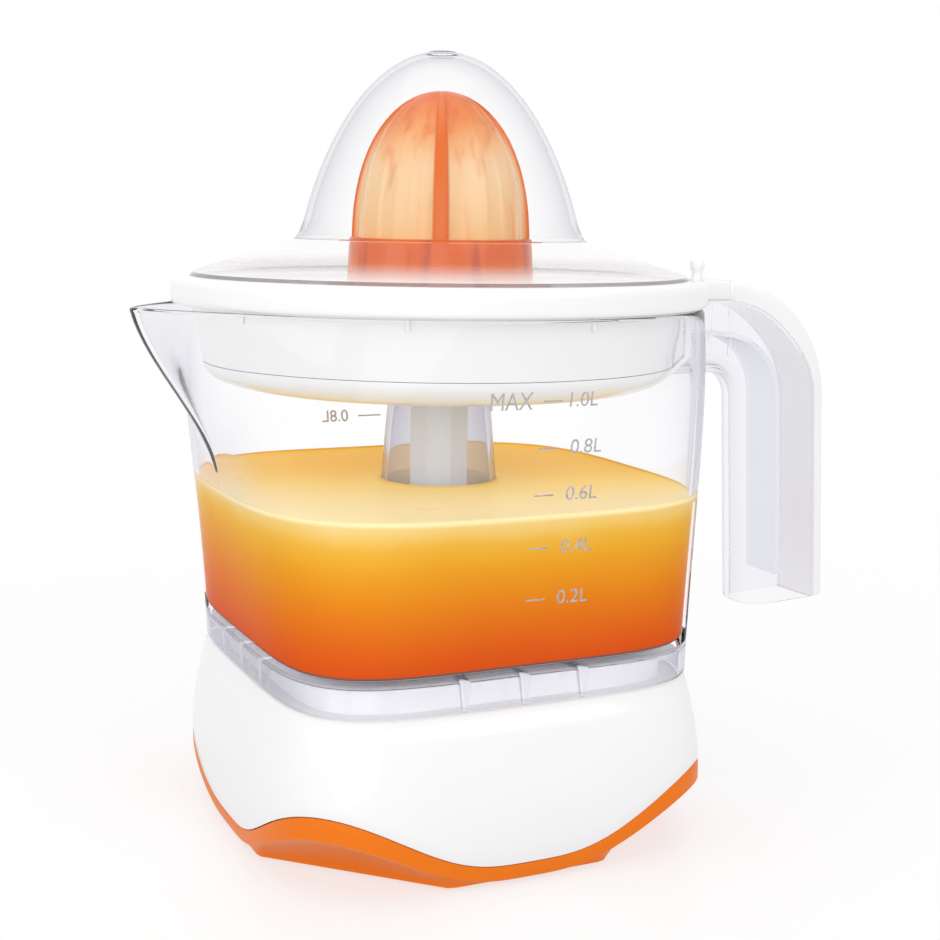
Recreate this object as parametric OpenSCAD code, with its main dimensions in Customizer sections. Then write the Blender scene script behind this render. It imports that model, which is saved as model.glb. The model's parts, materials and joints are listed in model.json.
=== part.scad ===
// Citrus press juicer: a motor base, a one-litre jug that stands on it, a
// sieve bowl with a pulp regulator, a ribbed reamer and a domed lid.
// Origin: on the drive axis, at the level of the table. +X points at the
// handle, -X at the spout, -Y is the face with the volume scale.

/* [Base] */
// Height of the deck that the jug stands on
base_h = 48.9; // [44:0.1:60]
// Width of the base at its widest level
base_w = 135.6; // [130:0.1:150]
// Width of the base at the deck
base_top_w = 126.4; // [122:0.1:134]
// Level of the widest part of the base
belly_z = 17.6; // [12:0.1:26]
// Wall of the white housing
housing_wall = 2.4; // [1.6:0.1:3.2]
// Squareness of the base in plan (2 is a circle)
base_power = 4.6; // [3:0.1:6]
// Height of the white edge above the table in the middle of a side
wave_low = 5.6; // [4:0.1:9]
// Rise of the white edge from the middle of a side to a corner
wave_rise = 18; // [8:0.1:20]
// Thickness of the coloured band under the white edge
band_h = 4.6; // [3:0.1:8]
// Wall of the bottom tray
tray_wall = 2.5; // [2:0.1:3.5]
// Distance from the axis to the straight toe line across a tray corner
toe_r = 62.5; // [60:0.1:66]
// Height of a rubber foot below the tray
foot_h = 1; // [0.5:0.1:3]
// Diameter of a rubber foot
foot_d = 13; // [9:0.1:16]
// Distance of the feet from the axis
foot_ring_r = 53; // [48:0.1:54]

/* [Turret] */
// Height of the turret above the deck
turret_h = 35; // [30:0.1:42]
// Outer diameter of the turret
turret_d = 29; // [27:0.1:31]
// Wall of the turret
turret_wall = 2.4; // [1.8:0.1:3]

/* [Jug] */
// Height of the jug from its skirt to its rim
jug_h = 105.7; // [96:0.1:125]
// Width of the jug at its skirt
jug_foot_w = 125.8; // [118:0.1:126.2]
// Outer diameter of the round rim
jug_rim_d = 156; // [150:0.1:164]
// Wall of the jug
jug_wall = 2.3; // [1.8:0.1:3]
// Height of the juice floor above the skirt's lower edge
skirt_h = 10.3; // [8:0.1:14]
// Reach of the pouring lip from the axis
spout_reach = 92.7; // [88:0.1:100]
// Height above the skirt at which the spout begins
spout_start = 58; // [45:0.5:75]
// Outer diameter of the chimney at the juice floor
chimney_foot_d = 42.4; // [40:0.1:46]
// Outer diameter of the chimney at its top
chimney_top_d = 28.4; // [28:0.1:31]

/* [Handle] */
// Width of the handle
handle_w = 21; // [18:0.1:26]
// Distance from the axis to the centre of the handle's bend
bend_x = 95; // [93:0.1:105]
// Inner radius of the bend, on the side of the fingers
grip_r = 9.5; // [8:0.1:12]
// Outer radius of the bend
back_r = 39.2; // [37:0.1:44]
// Angle at which the grip leans out
handle_lean = 2.9; // [0:0.1:6]
// Height of the handle's lower end above the jug's skirt
handle_foot = 4.5; // [0:0.1:20]
// Wall of the handle
handle_wall = 2; // [1.6:0.1:3]
// Thickness of the cover along the bend
cover_t = 6.6; // [5:0.1:8]
// Thickness of the cover along the grip
cover_grip_t = 3.7; // [3:0.1:5]

/* [Sieve] */
// Outer diameter of the sieve bowl's ring
ring_d = 158.2; // [156:0.1:168]
// Height of the ring
ring_h = 7.9; // [6:0.1:10]
// Outer diameter of the bowl just under the ring
bowl_d = 144.6; // [138:0.1:145]
// Depth of the bowl below the rim of the jug
bowl_depth = 24; // [22:0.1:28]
// Wall of the bowl
bowl_wall = 2; // [1.5:0.1:2.4]
// Number of radial sieve slots
slot_count = 24; // [12:1:30]
// Width of a sieve slot
slot_w = 2.4; // [1.5:0.1:3]
// Length of the tab that covers the top of the handle
tab_reach = 96.8; // [94:0.1:97]
// Width of that tab
tab_w = 20; // [16:0.1:24]

/* [Pulp regulator] */
// Wall of the regulator cup
cup_wall = 1.7; // [1.4:0.1:2.2]
// Height of the regulator cup
cup_h = 7.3; // [6:0.1:9]
// Width of the rounded corner of the cup and the bowl
corner_w = 16; // [10:0.5:20]
// Where the lever stands, as an angle from the handle
lever_angle = -33; // [-60:1:-26]
// Height of the lever's knob above the ring
knob_h = 6.5; // [4:0.1:10]
// Diameter of the lever's knob
knob_d = 3.6; // [3:0.1:3.8]

/* [Reamer] */
// Height of the large reamer's tip above the small reamer's seat
reamer_rise = 70.2; // [68:0.1:76]
// Height of the ribbed part of the large reamer
reamer_h = 43.4; // [38:0.1:46]
// Diameter of the ribbed part of the large reamer
reamer_d = 52.6; // [48:0.1:60]
// Height of the skirt below the ribs
reamer_skirt_h = 35; // [32:0.1:36]
// Number of bold ribs
rib_count = 4; // [4:1:8]
// Angle of the first rib at rest
rib_turn = 66.4; // [0:0.1:90]
// Depth of the grooves between the ribs
groove_depth = 2.8; // [1:0.1:4]
// Wall of the large reamer
reamer_wall = 2; // [1.6:0.1:2.6]
// Diameter of the small reamer
small_d = 38; // [32:0.1:40]
// Height of the small reamer above its flange
small_h = 36; // [30:0.1:38]

/* [Lid] */
// Height of the lid above the ring
lid_h = 65.2; // [62:0.1:75]
// Diameter of the lid's rim
lid_d = 146.4; // [140:0.1:146.8]
// Height of the dome
dome_h = 53.3; // [50:0.1:56]
// Diameter of the dome at its foot
dome_d = 83; // [76:0.1:92]
// Wall of the lid
lid_wall = 1.8; // [1.4:0.1:2.4]

/* [Drive] */
// Tooth size of the gears (pitch diameter per tooth)
gear_module = 0.9; // [0.8:0.05:1]
// Teeth of the rotor's pinion
pinion_teeth = 14; // [13:1:16]
// Teeth of the idler's wheel
wheel_teeth = 42; // [38:1:44]
// Teeth of the idler's pinion
second_pinion_teeth = 16; // [15:1:18]
// Teeth of the output wheel
output_teeth = 48; // [46:1:50]
// Width of the gear teeth
gear_w = 5.2; // [4:0.1:5.5]
// Distance of the motor from the drive axis
motor_x = 33; // [30:0.1:36]
// Diameter of the motor can
motor_d = 48; // [40:0.1:50]
// Height of the motor can
motor_h = 18; // [15:0.1:18]
// Width across the flats of the hexagonal drive
hex_af = 10; // [8:0.1:10]
// Stroke that starts the motor when the reamer is pressed
press_stroke = 2.5; // [1.5:0.1:3]

/* [Hidden] */

// Resolution
fine = 64;
loft_steps = 72;

// Clearances
seat_gap = 0.3;     // between faces that rest on each other
run_fit = 0.05;     // radial, between a shaft and its bore
slide_fit = 0.06;   // each side, between a hexagon and its socket
side_gap = 0.4;     // beside pieces that pass each other
eps = 0.5;          // how far joined solids reach into each other

// Levels, from the table upwards
tray_z = foot_h;
tray_top = tray_z + tray_wall;
deck_in = base_h - housing_wall;
jug_z = base_h + seat_gap;
floor_z = jug_z + skirt_h;
rim_z = jug_z + jug_h;
ring_z = rim_z + seat_gap;
ring_top = ring_z + ring_h;
cup_z = rim_z - bowl_depth;
bowl_z = cup_z + cup_wall + seat_gap;
bowl_floor = bowl_z + bowl_wall;
turret_top = base_h + turret_h;

// Half widths and radii
base_a = base_w / 2;
base_top_a = base_top_w / 2;
jug_foot_a = jug_foot_w / 2;
jug_rim_r = jug_rim_d / 2;
bowl_r = bowl_d / 2;
turret_r = turret_d / 2;
turret_in_r = turret_r - turret_wall;

// Gearbox levels and places
can_z = tray_top + 2.5;
cover_plate_t = 1.2;
plate_z = can_z + motor_h + cover_plate_t;
plate_t = 2.5;
plate_top = plate_z + plate_t;
pinion_z = plate_top + 0.8;
stage_gap = 0.8;
idler_pinion_w = gear_w + stage_gap + 0.6;
output_z = pinion_z + gear_w + stage_gap;
output_top = output_z + gear_w;
gearbox_top_z = output_top + 1.2;
gearbox_top_t = 2.2;
washer_t = 0.5;
pinion_r = gear_module * pinion_teeth / 2;
first_distance = gear_module * (pinion_teeth + wheel_teeth) / 2;
second_distance = gear_module * (second_pinion_teeth + output_teeth) / 2;
idler_x = (pow(motor_x, 2) + pow(second_distance, 2) - pow(first_distance, 2)) / 2 / motor_x;
idler_pos = [-idler_x, sqrt(pow(second_distance, 2) - pow(idler_x, 2))];
motor_pos = [-motor_x, 0];
motor_screw_places = [for (s = [-1, 1]) [-motor_x + 1, s * (motor_d / 2 + 3.2)]];
post_places = [[28, 12], [10, -30], [-45, 34]];
post_r = 4.2;
pillar_places = [for (a = [62, 118, 242, 298]) 54 * [cos(a), sin(a)]];
pillar_r = 4.2;
screw_r = 1.5;
screw_head_r = 2.8;
screw_head_h = 1.8;
tray_screw_l = 14;
gearbox_screw_l = 22;

// Hexagonal drive
hub_r = hex_af / 2 / cos(30) + 2.4;
hub_foot_r = hub_r - 1;
coupling_foot_z = 19;
coupling_head_z = turret_top - 21.9;
coupling_head_r = hub_r - 0.4;
coupling_top_z = turret_top - 2;
socket_z = coupling_top_z - 16;
plug_af = hex_af - 2;
shaft_z = turret_top + press_stroke + 1.2;
shaft_prism_r = 9.2;
journal_r = 5.5;
bush_z = cup_z + 3;
bush_h = 7.5;
bush_r = journal_r + run_fit + 2.4;
clip_t = 0.8;
hub_in_r = bush_r + run_fit;
hub_out_r = hub_in_r + 2.2;
chimney_top = cup_z + 9;
hood_r = chimney_top_d / 2 + 2 * side_gap;
hood_top = chimney_top + 1.2 + bowl_wall;
journal_top = hood_top + press_stroke + 0.6;
small_z = journal_top + 0.2;
plug_top = small_z + 24;

// Reamer levels
tip_z = small_z + reamer_rise;
ledge_z = tip_z - reamer_h;
skirt_z = ledge_z - reamer_skirt_h;
skirt_r = reamer_d / 2 + 2.6;
flange_z = small_z + 9;
flange_t = 2;

// Switch under the drive axis
switch_z = tray_top + 1.5;
switch_h = 8;
lever_pivot = [12, switch_z + switch_h + 1.7];
lever_t = 0.6;
lever_base = 0.25;
lever_pin_r = 0.7;
plunger_x = 6;
plunger_r = 1.2;

// ---------------------------------------------------------------- curves

// Radius at angle t of a rounded square of half width a
function squircle(t, a, n) =
    a * pow(pow(abs(cos(t)), n) + pow(abs(sin(t)), n), -1 / n);

function clamp01(f) = max(0, min(1, f));
function ease(f) = clamp01(f) * clamp01(f) * (3 - 2 * clamp01(f));
function mix(a, b, f) = a + (b - a) * f;

// Half width of the base at level z: a barrel that is widest at belly_z
function base_half(z) =
    base_a - (base_a - base_top_a) * pow((z - belly_z) / (base_h - belly_z), 2);

// How far a corner has lifted the wave at angle t: 0 mid side, 1 at a corner
function wave(t) = pow(abs(sin(2 * t)), 3.5);
function white_edge(t) = foot_h - 1 + wave_low + wave_rise * wave(t);
function band_edge(t) = max(tray_z, white_edge(t) - band_h - 2 * wave(t));

// Outer radius of the jug at angle t and height h above its skirt
jug_flare = 0.45;
jug_power_foot = 4.9;
jug_power_rim = 2;
function jug_half(f) =
    mix(jug_foot_a, jug_rim_r, jug_flare * f + (1 - jug_flare) * f * f);
function jug_wall_r(t, f) =
    squircle(t, jug_half(f), mix(jug_power_foot, jug_power_rim, f));

// The spout is drawn out of the wall as two straight cheeks with a blunt nose
nose_angle = 3.5;
function spout_open(t, a, out) =
    let (nose = nose_angle * min(1, out / 5),
         cheek = acos(a / (a + out)) + nose,
         off = sqrt(pow(180 - abs(t), 2) + pow(nose, 2)))
    off < cheek ? 1 / cos(cheek - off) : 1;
function spout_out(h) =
    (spout_reach - jug_rim_r) * ease((h - spout_start) / (jug_h - spout_start));
function jug_r(t, h) =
    let (f = h / jug_h, a = jug_half(f))
    jug_wall_r(t, f) * spout_open(t, a, spout_out(h));

// Radius of a full, rounded dome a share f of its height below the apex
function dome_curve(r, f, fullness) =
    r * sqrt(max(0, f)) * (1 + fullness * (1 - f));

// ---------------------------------------------------------------- helpers

angles = [for (i = [0 : loft_steps - 1]) i * 360 / loft_steps - 180];

// Solid whose skin passes through closed rings of points. Where loop is true
// the last ring joins the first, which makes a tube-like solid; otherwise
// both ends are capped. Where fold is true a ring is a thin U, whose second
// half runs back along the first. The rings run anticlockwise, from above.
module loft(rings, loop = false, fold = false) {
    n = len(rings[0]);
    m = len(rings);
    function at(i, j) = (i % m) * n + j % n;
    sides = [
        for (i = [0 : m - (loop ? 1 : 2)])
            for (j = [0 : n - 1])
                for (face = [[at(i, j), at(i + 1, j + 1), at(i, j + 1)],
                             [at(i, j), at(i + 1, j), at(i + 1, j + 1)]])
                    face
    ];
    last = (m - 1) * n;
    caps = loop ? []
        : fold ? [for (j = [0 : n / 2 - 2])
            for (quad = [[j, j + 1, n - 2 - j, n - 1 - j],
                         [last + n - 1 - j, last + n - 2 - j, last + j + 1, last + j]])
                quad]
        : [[for (j = [0 : n - 1]) j], [for (j = [n - 1 : -1 : 0]) last + j]];
    polyhedron(points = [for (ring = rings) for (p = ring) p],
               faces = concat(sides, caps));
}

function ring_at(radii, levels) =
    [for (j = [0 : loft_steps - 1])
        [radii[j] * cos(angles[j]), radii[j] * sin(angles[j]), levels[j]]];

module tube(r_out, r_in, h) {
    difference() {
        cylinder(r = r_out, h = h, $fn = fine);
        translate([0, 0, -1]) cylinder(r = r_in, h = h + 2, $fn = fine);
    }
}

module hex(af, h) {
    cylinder(r = af / 2 / cos(30), h = h, $fn = 6);
}

module at_each(places) {
    for (p = places) translate([p[0], p[1], 0]) children();
}

// Spur gear with involute flanks and short addenda
gear_backlash = 0.16;
function involute(a) = tan(a) * 180 / PI - a;
function flank_angle(r, teeth, rp) =
    90 / teeth - gear_backlash / 2 / rp * 180 / PI
    + involute(20) - involute(acos(min(1, rp * cos(20) / r)));
module gear_profile(teeth) {
    rp = gear_module * teeth / 2;
    ra = rp + 0.8 * gear_module;
    rf = rp - 1.15 * gear_module;
    rb = max(rf + 0.05, rp * cos(20));
    flank = [for (k = [0 : 3]) mix(rb, ra, k / 3)];
    polygon([
        for (i = [0 : teeth - 1])
            let (c = i * 360 / teeth)
            for (p = concat(
                [[rf, c - flank_angle(rb, teeth, rp)]],
                [for (r = flank) [r, c - flank_angle(r, teeth, rp)]],
                [for (k = [3 : -1 : 0])
                    [flank[k], c + flank_angle(flank[k], teeth, rp)]],
                [[rf, c + flank_angle(rb, teeth, rp)]]))
                p[0] * [cos(p[1]), sin(p[1])]
    ]);
}
module gear(teeth, w, turn) {
    rotate([0, 0, turn]) linear_extrude(height = w) gear_profile(teeth);
}

function heading(from, to) = atan2(to[1] - from[1], to[0] - from[0]);
motor_to_idler = heading(motor_pos, idler_pos);
idler_to_output = heading(idler_pos, [0, 0]);

// ---------------------------------------------------------------- base

module base_housing() {
    edge = 1.6;
    function wall_level(t, f) = mix(white_edge(t) + 0.2, base_h - edge, f);
    function outer(f) = ring_at(
        [for (t = angles) squircle(t, base_half(wall_level(t, f)), base_power)],
        [for (t = angles) wall_level(t, f)]);
    function inner_level(t, f) = mix(white_edge(t) + 0.2, deck_in - edge, f);
    function inner(f) = ring_at(
        [for (t = angles)
            squircle(t, base_half(inner_level(t, f)) - housing_wall, base_power)],
        [for (t = angles) inner_level(t, f)]);
    function level(a, z) =
        ring_at([for (t = angles) squircle(t, a, base_power)], [for (t = angles) z]);
    function round_level(r, z) = ring_at([for (t = angles) r], [for (t = angles) z]);
    top_a = base_half(base_h);
    color("white") difference() {
        union() {
            loft(concat(
                [for (f = [0 : 0.25 : 1]) outer(f)],
                [level(top_a - 0.4, base_h - 0.5), level(top_a - edge, base_h),
                 round_level(turret_r + 4, base_h),
                 round_level(turret_r + 1, base_h + 1.2),
                 round_level(turret_r, base_h + 4),
                 round_level(turret_r, turret_top - 1.5),
                 round_level(turret_r - 1.5, turret_top),
                 round_level(turret_in_r, turret_top),
                 round_level(turret_in_r, base_h),
                 round_level(turret_in_r + 1.5, deck_in),
                 level(top_a - housing_wall - edge, deck_in)],
                [for (f = [1 : -0.25 : 0]) inner(f)]), true);
            at_each(pillar_places) translate([0, 0, tray_top + 7])
                cylinder(r = pillar_r, h = deck_in - tray_top - 7 + eps, $fn = fine);
        }
        at_each(pillar_places) translate([0, 0, tray_top])
            cylinder(r = screw_r - 0.2, h = 22, $fn = fine);
        translate([0, base_half(inlet_z) + 5, inlet_z]) rotate([90, 0, 0])
            cylinder(r = inlet_r, h = 20, $fn = fine);
    }
}

inlet_z = 22;
inlet_r = 6;
cord_r = 3.5;

module cord_grommet() {
    face = base_half(inlet_z);
    color("white") translate([0, face - housing_wall - 4, inlet_z])
        rotate([-90, 0, 0]) rotate_extrude($fn = fine) polygon([
            [cord_r, 0], [inlet_r + 2, 0], [inlet_r + 2, 3.4],
            [inlet_r - 0.1, 3.4], [inlet_r - 0.1, 4 + housing_wall + 0.8],
            [inlet_r - 1.2, 4 + housing_wall + 1.8], [cord_r, 4 + housing_wall + 1.8]
        ]);
}

// The tray is a shallow pan: a straight toe line crosses each corner and the
// underside sweeps up from it to the waved band.
module bottom_tray() {
    function toe(t) =
        let (side = squircle(t, base_half(tray_z) - 1.6, base_power),
             cut = toe_r / max(0.01, cos(abs(abs(t) % 90 - 45))))
        min(side, cut);
    function band(t) = squircle(t, base_half(band_edge(t)) - 0.1, base_power);
    function lip(t) = squircle(t, base_half(white_edge(t)) - 0.1, base_power);
    low = [for (t = angles) band_edge(t) + 0.15];
    high = [for (t = angles) white_edge(t)];
    color("darkorange") difference() {
        union() {
            loft([
                ring_at([for (t = angles) toe(t)], [for (t = angles) tray_z]),
                ring_at([for (t = angles) band(t)], low),
                ring_at([for (t = angles) lip(t)], high),
                ring_at([for (t = angles) lip(t) - housing_wall], high),
                ring_at([for (t = angles) lip(t) - housing_wall - tray_wall],
                        [for (t = angles) white_edge(t) - 1]),
                ring_at([for (t = angles) toe(t) - 2 * tray_wall],
                        [for (t = angles) tray_top])
            ]);
            at_each([motor_pos]) translate([0, 0, tray_top - eps])
                tube(motor_d / 2 - 1, motor_d / 2 - 4, can_z - tray_top + eps);
            at_each(post_places) translate([0, 0, tray_top - eps])
                cylinder(r = post_r, h = plate_z - tray_top + eps, $fn = fine);
            at_each(pillar_places) translate([0, 0, tray_top - eps])
                cylinder(r = pillar_r, h = 7 + eps, $fn = fine);
            for (x = [-4, 10]) translate([x, 0, tray_top - eps])
                cylinder(r = 2.4, h = switch_z - tray_top + eps, $fn = fine);
        }
        at_each(pillar_places) {
            translate([0, 0, tray_z - 1])
                cylinder(r = screw_head_r + 0.5, h = 1 + screw_head_h + 1.6, $fn = fine);
            translate([0, 0, tray_z]) cylinder(r = screw_r + 0.3, h = 20, $fn = fine);
        }
        at_each(post_places) translate([0, 0, plate_z - 12])
            cylinder(r = screw_r - 0.2, h = 13, $fn = fine);
        at_each(foot_places) translate([0, 0, tray_z - 1])
            cylinder(r = foot_d / 2 - 2, h = 1 + 1.4, $fn = fine);
        for (x = [-4, 10]) translate([x, 0, tray_z + 1])
            cylinder(r = 0.8, h = 10, $fn = fine);
        for (k = [-2 : 2]) translate([35, k * 6 - 1.5, tray_z - 1])
            cube([16, 3, tray_wall + 2]);
    }
}

foot_places = [for (a = [45 : 90 : 315]) foot_ring_r * [cos(a), sin(a)]];

module rubber_feet() {
    color("dimgray") at_each(foot_places) {
        rotate_extrude($fn = fine) polygon([
            [0, 0], [foot_d / 2 - 0.6, 0], [foot_d / 2, 0.5], [foot_d / 2, tray_z],
            [foot_d / 2 - 2.05, tray_z], [foot_d / 2 - 2.05, tray_z + 1.3],
            [0, tray_z + 1.3]
        ]);
    }
}

module screw(l) {
    rotate_extrude($fn = fine) polygon([
        [0, 0], [screw_r - 0.2, 0], [screw_r - 0.2, l], [screw_head_r, l],
        [screw_head_r, l + 1.2], [screw_head_r - 0.8, l + screw_head_h], [0, l + screw_head_h]
    ]);
}

module tray_screws() {
    head = tray_z + screw_head_h + 1.5;
    color("silver") at_each(pillar_places)
        translate([0, 0, head]) mirror([0, 0, 1])
            translate([0, 0, -tray_screw_l]) screw(tray_screw_l);
}

module turret_seal() {
    depth = 4;
    lip = 0.7;
    color("dimgray") translate([0, 0, turret_top - depth])
        rotate_extrude($fn = fine) polygon([
            [coupling_head_r + 0.3, 1.5], [coupling_head_r + 1.4, 0],
            [turret_in_r - run_fit, 0], [turret_in_r - run_fit, depth], [turret_in_r + 1, depth],
            [turret_in_r + 1, depth + lip], [coupling_head_r + 0.3, depth + lip]
        ]);
}

// ---------------------------------------------------------------- motor

can_in_r = motor_d / 2 - 1;
magnet_r = 11.5;
rotor_shaft_r = 1.5;
rotor_bush_r = 4;
pole_in_r = magnet_r + 0.5;
pole_t = 0.8;
bobbin_in_r = pole_in_r + pole_t + 0.1;

module motor_can() {
    color("silver") at_each([motor_pos]) translate([0, 0, can_z]) difference() {
        cylinder(r = motor_d / 2, h = motor_h, $fn = fine);
        translate([0, 0, 1]) cylinder(r = can_in_r, h = motor_h, $fn = fine);
        translate([0, 0, -1]) cylinder(r = rotor_bush_r, h = 4, $fn = fine);
    }
}

module motor_cover() {
    color("gainsboro") at_each([motor_pos])
        translate([0, 0, can_z + motor_h]) difference() {
            union() {
                cylinder(r = motor_d / 2, h = cover_plate_t, $fn = fine);
                translate([-3, -motor_d / 2 - 6.5, 0])
                    cube([8, motor_d + 13, cover_plate_t]);
            }
            translate([0, 0, -1]) cylinder(r = rotor_bush_r, h = 4, $fn = fine);
            for (p = motor_screw_places) translate([p[0] + motor_x, p[1], -1])
                cylinder(r = screw_r, h = 4, $fn = fine);
        }
}

module motor_screws() {
    color("silver") at_each(motor_screw_places)
        translate([0, 0, plate_top]) mirror([0, 0, 1]) screw(plate_t + cover_plate_t);
}

module rotor_bushes() {
    color("goldenrod") at_each([motor_pos]) {
        translate([0, 0, can_z - 0.8]) tube(rotor_bush_r, rotor_shaft_r + run_fit, 3);
        translate([0, 0, can_z + motor_h - 1.2])
            tube(rotor_bush_r, rotor_shaft_r + run_fit, 1.2 + cover_plate_t);
    }
}

module stator_bobbin() {
    h = motor_h - 2.4;
    color("ivory") at_each([motor_pos]) translate([0, 0, can_z + 1.2])
        rotate_extrude($fn = fine) polygon([
            [bobbin_in_r, 0], [can_in_r - 0.2, 0], [can_in_r - 0.2, 1],
            [bobbin_in_r + 1, 1], [bobbin_in_r + 1, h - 1], [can_in_r - 0.2, h - 1],
            [can_in_r - 0.2, h], [bobbin_in_r, h]
        ]);
}

module stator_coil() {
    color("peru") at_each([motor_pos]) translate([0, 0, can_z + 2.3])
        tube(can_in_r - 1, bobbin_in_r + 1.1, motor_h - 4.6);
}

module pole_ring() {
    claws = 12;
    claw_w = PI * pole_in_r / claws;
    color("gray") at_each([motor_pos]) translate([0, 0, can_z + 1.1]) difference() {
        tube(pole_in_r + pole_t, pole_in_r, motor_h - 2.2);
        for (k = [0 : claws - 1]) rotate([0, 0, k * 360 / claws])
            translate([pole_in_r - 1, -claw_w / 4, k % 2 == 0 ? 2 : -1])
                cube([pole_t + 2, claw_w / 2, motor_h - 3.2]);
    }
}

module rotor_magnet() {
    color("dimgray") at_each([motor_pos]) translate([0, 0, can_z + 3]) difference() {
        cylinder(r = magnet_r, h = motor_h - 5.2, $fn = fine);
        translate([0, 0, -1]) cylinder(r = rotor_shaft_r, h = motor_h, $fn = fine);
    }
}

module rotor_shaft() {
    color("silver") at_each([motor_pos]) translate([0, 0, can_z - 0.5])
        cylinder(r = rotor_shaft_r, h = pinion_z + gear_w + 0.3 - can_z + 0.5, $fn = fine);
}

module rotor_pinion() {
    color("ivory") at_each([motor_pos]) difference() {
        union() {
            translate([0, 0, pinion_z]) gear(pinion_teeth, gear_w, motor_to_idler);
            translate([0, 0, pinion_z - 0.5])
                cylinder(r = pinion_r - 1.6, h = 1, $fn = fine);
        }
        translate([0, 0, pinion_z - 1])
            cylinder(r = rotor_shaft_r, h = gear_w + 2, $fn = fine);
    }
}

// ---------------------------------------------------------------- gearbox

plate_low = [-60, -37];
plate_high = [34, 42];
plate_cut = 8;

module plate_shape() {
    polygon([
        [plate_low[0] + 26, plate_low[1]], [plate_high[0] - plate_cut, plate_low[1]],
        [plate_high[0], plate_low[1] + plate_cut], [plate_high[0], plate_high[1] - 20],
        [plate_high[0] - 20, plate_high[1] - plate_cut],
        [plate_low[0] + 26, plate_high[1]], [plate_low[0] + 12, plate_high[1]],
        [plate_low[0], plate_high[1] - 18], [plate_low[0], plate_low[1] + 26]
    ]);
}

module gear_plate() {
    color("lightgray") difference() {
        union() {
            translate([0, 0, plate_z]) linear_extrude(height = plate_t) plate_shape();
            at_each(post_places) translate([0, 0, plate_top - eps])
                cylinder(r = post_r, h = gearbox_top_z - plate_top + eps, $fn = fine);
        }
        at_each(post_places) translate([0, 0, plate_z - 1])
            cylinder(r = screw_r + 0.2, h = 40, $fn = fine);
        translate([0, 0, plate_z - 1]) cylinder(r = hub_foot_r + run_fit, h = 10, $fn = fine);
        at_each(motor_screw_places) translate([0, 0, plate_z - 1])
            cylinder(r = screw_r - 0.2, h = 10, $fn = fine);
        at_each([motor_pos]) translate([0, 0, plate_z - 1])
            cylinder(r = rotor_bush_r + 1, h = 10, $fn = fine);
        at_each([idler_pos]) translate([0, 0, plate_z - 1])
            cylinder(r = 1.5, h = 10, $fn = fine);
    }
}

module gearbox_cover() {
    color("lightgray") difference() {
        translate([0, 0, gearbox_top_z]) linear_extrude(height = gearbox_top_t) plate_shape();
        at_each(post_places) translate([0, 0, gearbox_top_z - 1])
            cylinder(r = screw_r + 0.2, h = 10, $fn = fine);
        translate([0, 0, gearbox_top_z - 1])
            cylinder(r = hub_r + 2.4, h = gearbox_top_t + 2, $fn = fine);
        at_each([idler_pos]) translate([0, 0, gearbox_top_z - 1])
            cylinder(r = 1.5, h = gearbox_top_t + 2, $fn = fine);
    }
}

module gearbox_screws() {
    color("silver") at_each(post_places)
        translate([0, 0, gearbox_top_z + gearbox_top_t - gearbox_screw_l])
            screw(gearbox_screw_l);
}

module output_bush() {
    color("goldenrod") translate([0, 0, gearbox_top_z]) difference() {
        union() {
            cylinder(r = hub_r + 2.4, h = gearbox_top_t, $fn = fine);
            translate([0, 0, gearbox_top_t]) cylinder(r = hub_r + 3.6, h = 1, $fn = fine);
        }
        translate([0, 0, -1])
            cylinder(r = hub_r + run_fit, h = gearbox_top_t + 3, $fn = fine);
    }
}

module thrust_washer() {
    color("silver") translate([0, 0, plate_top]) tube(hub_r + 2, hub_foot_r + 0.2, washer_t);
}

module idler_axle() {
    color("silver") at_each([idler_pos]) translate([0, 0, plate_z])
        cylinder(r = 1.5, h = gearbox_top_z + gearbox_top_t - plate_z, $fn = fine);
}

module idler_gear() {
    color("ivory") at_each([idler_pos]) difference() {
        union() {
            translate([0, 0, pinion_z])
                gear(wheel_teeth, gear_w, motor_to_idler + 180 + 180 / wheel_teeth);
            translate([0, 0, pinion_z + gear_w - eps])
                gear(second_pinion_teeth, idler_pinion_w + eps, idler_to_output);
            translate([0, 0, plate_top + 0.3]) cylinder(r = 3.4, h = 1.2, $fn = fine);
        }
        translate([0, 0, plate_z])
            cylinder(r = 1.5 + run_fit, h = 30, $fn = fine);
    }
}

output_hub_top = gearbox_top_z + gearbox_top_t + 1.6;

module output_gear() {
    color("ivory") difference() {
        union() {
            translate([0, 0, output_z])
                gear(output_teeth, gear_w, idler_to_output + 180 + 180 / output_teeth);
            translate([0, 0, plate_z])
                cylinder(r = hub_foot_r, h = output_z - plate_z, $fn = fine);
            translate([0, 0, plate_top + washer_t + run_fit])
                cylinder(r = hub_r, h = output_hub_top - plate_top - washer_t - run_fit, $fn = fine);
        }
        translate([0, 0, plate_z - 1]) hex(hex_af, 40);
    }
}

// ---------------------------------------------------------------- drive

spring_wire_r = 0.55;
spring_r = hex_af / 2 / cos(30) + spring_wire_r + 0.35;
spring_z = output_hub_top;
spring_top = coupling_head_z;
spring_turns = 5;

module return_spring() {
    steps = 14;
    sides = 6;
    rise = spring_top - spring_z - 2 * spring_wire_r - 0.2;
    color("silver") loft([
        for (i = [0 : spring_turns * steps])
            let (a = i * 360 / steps, z = spring_z + spring_wire_r + 0.1
                 + rise * i / (spring_turns * steps))
            [for (k = [0 : sides - 1])
                let (b = -k * 360 / sides, r = spring_r + spring_wire_r * cos(b))
                [r * cos(a), r * sin(a), z + spring_wire_r * sin(b)]]
    ]);
}

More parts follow.
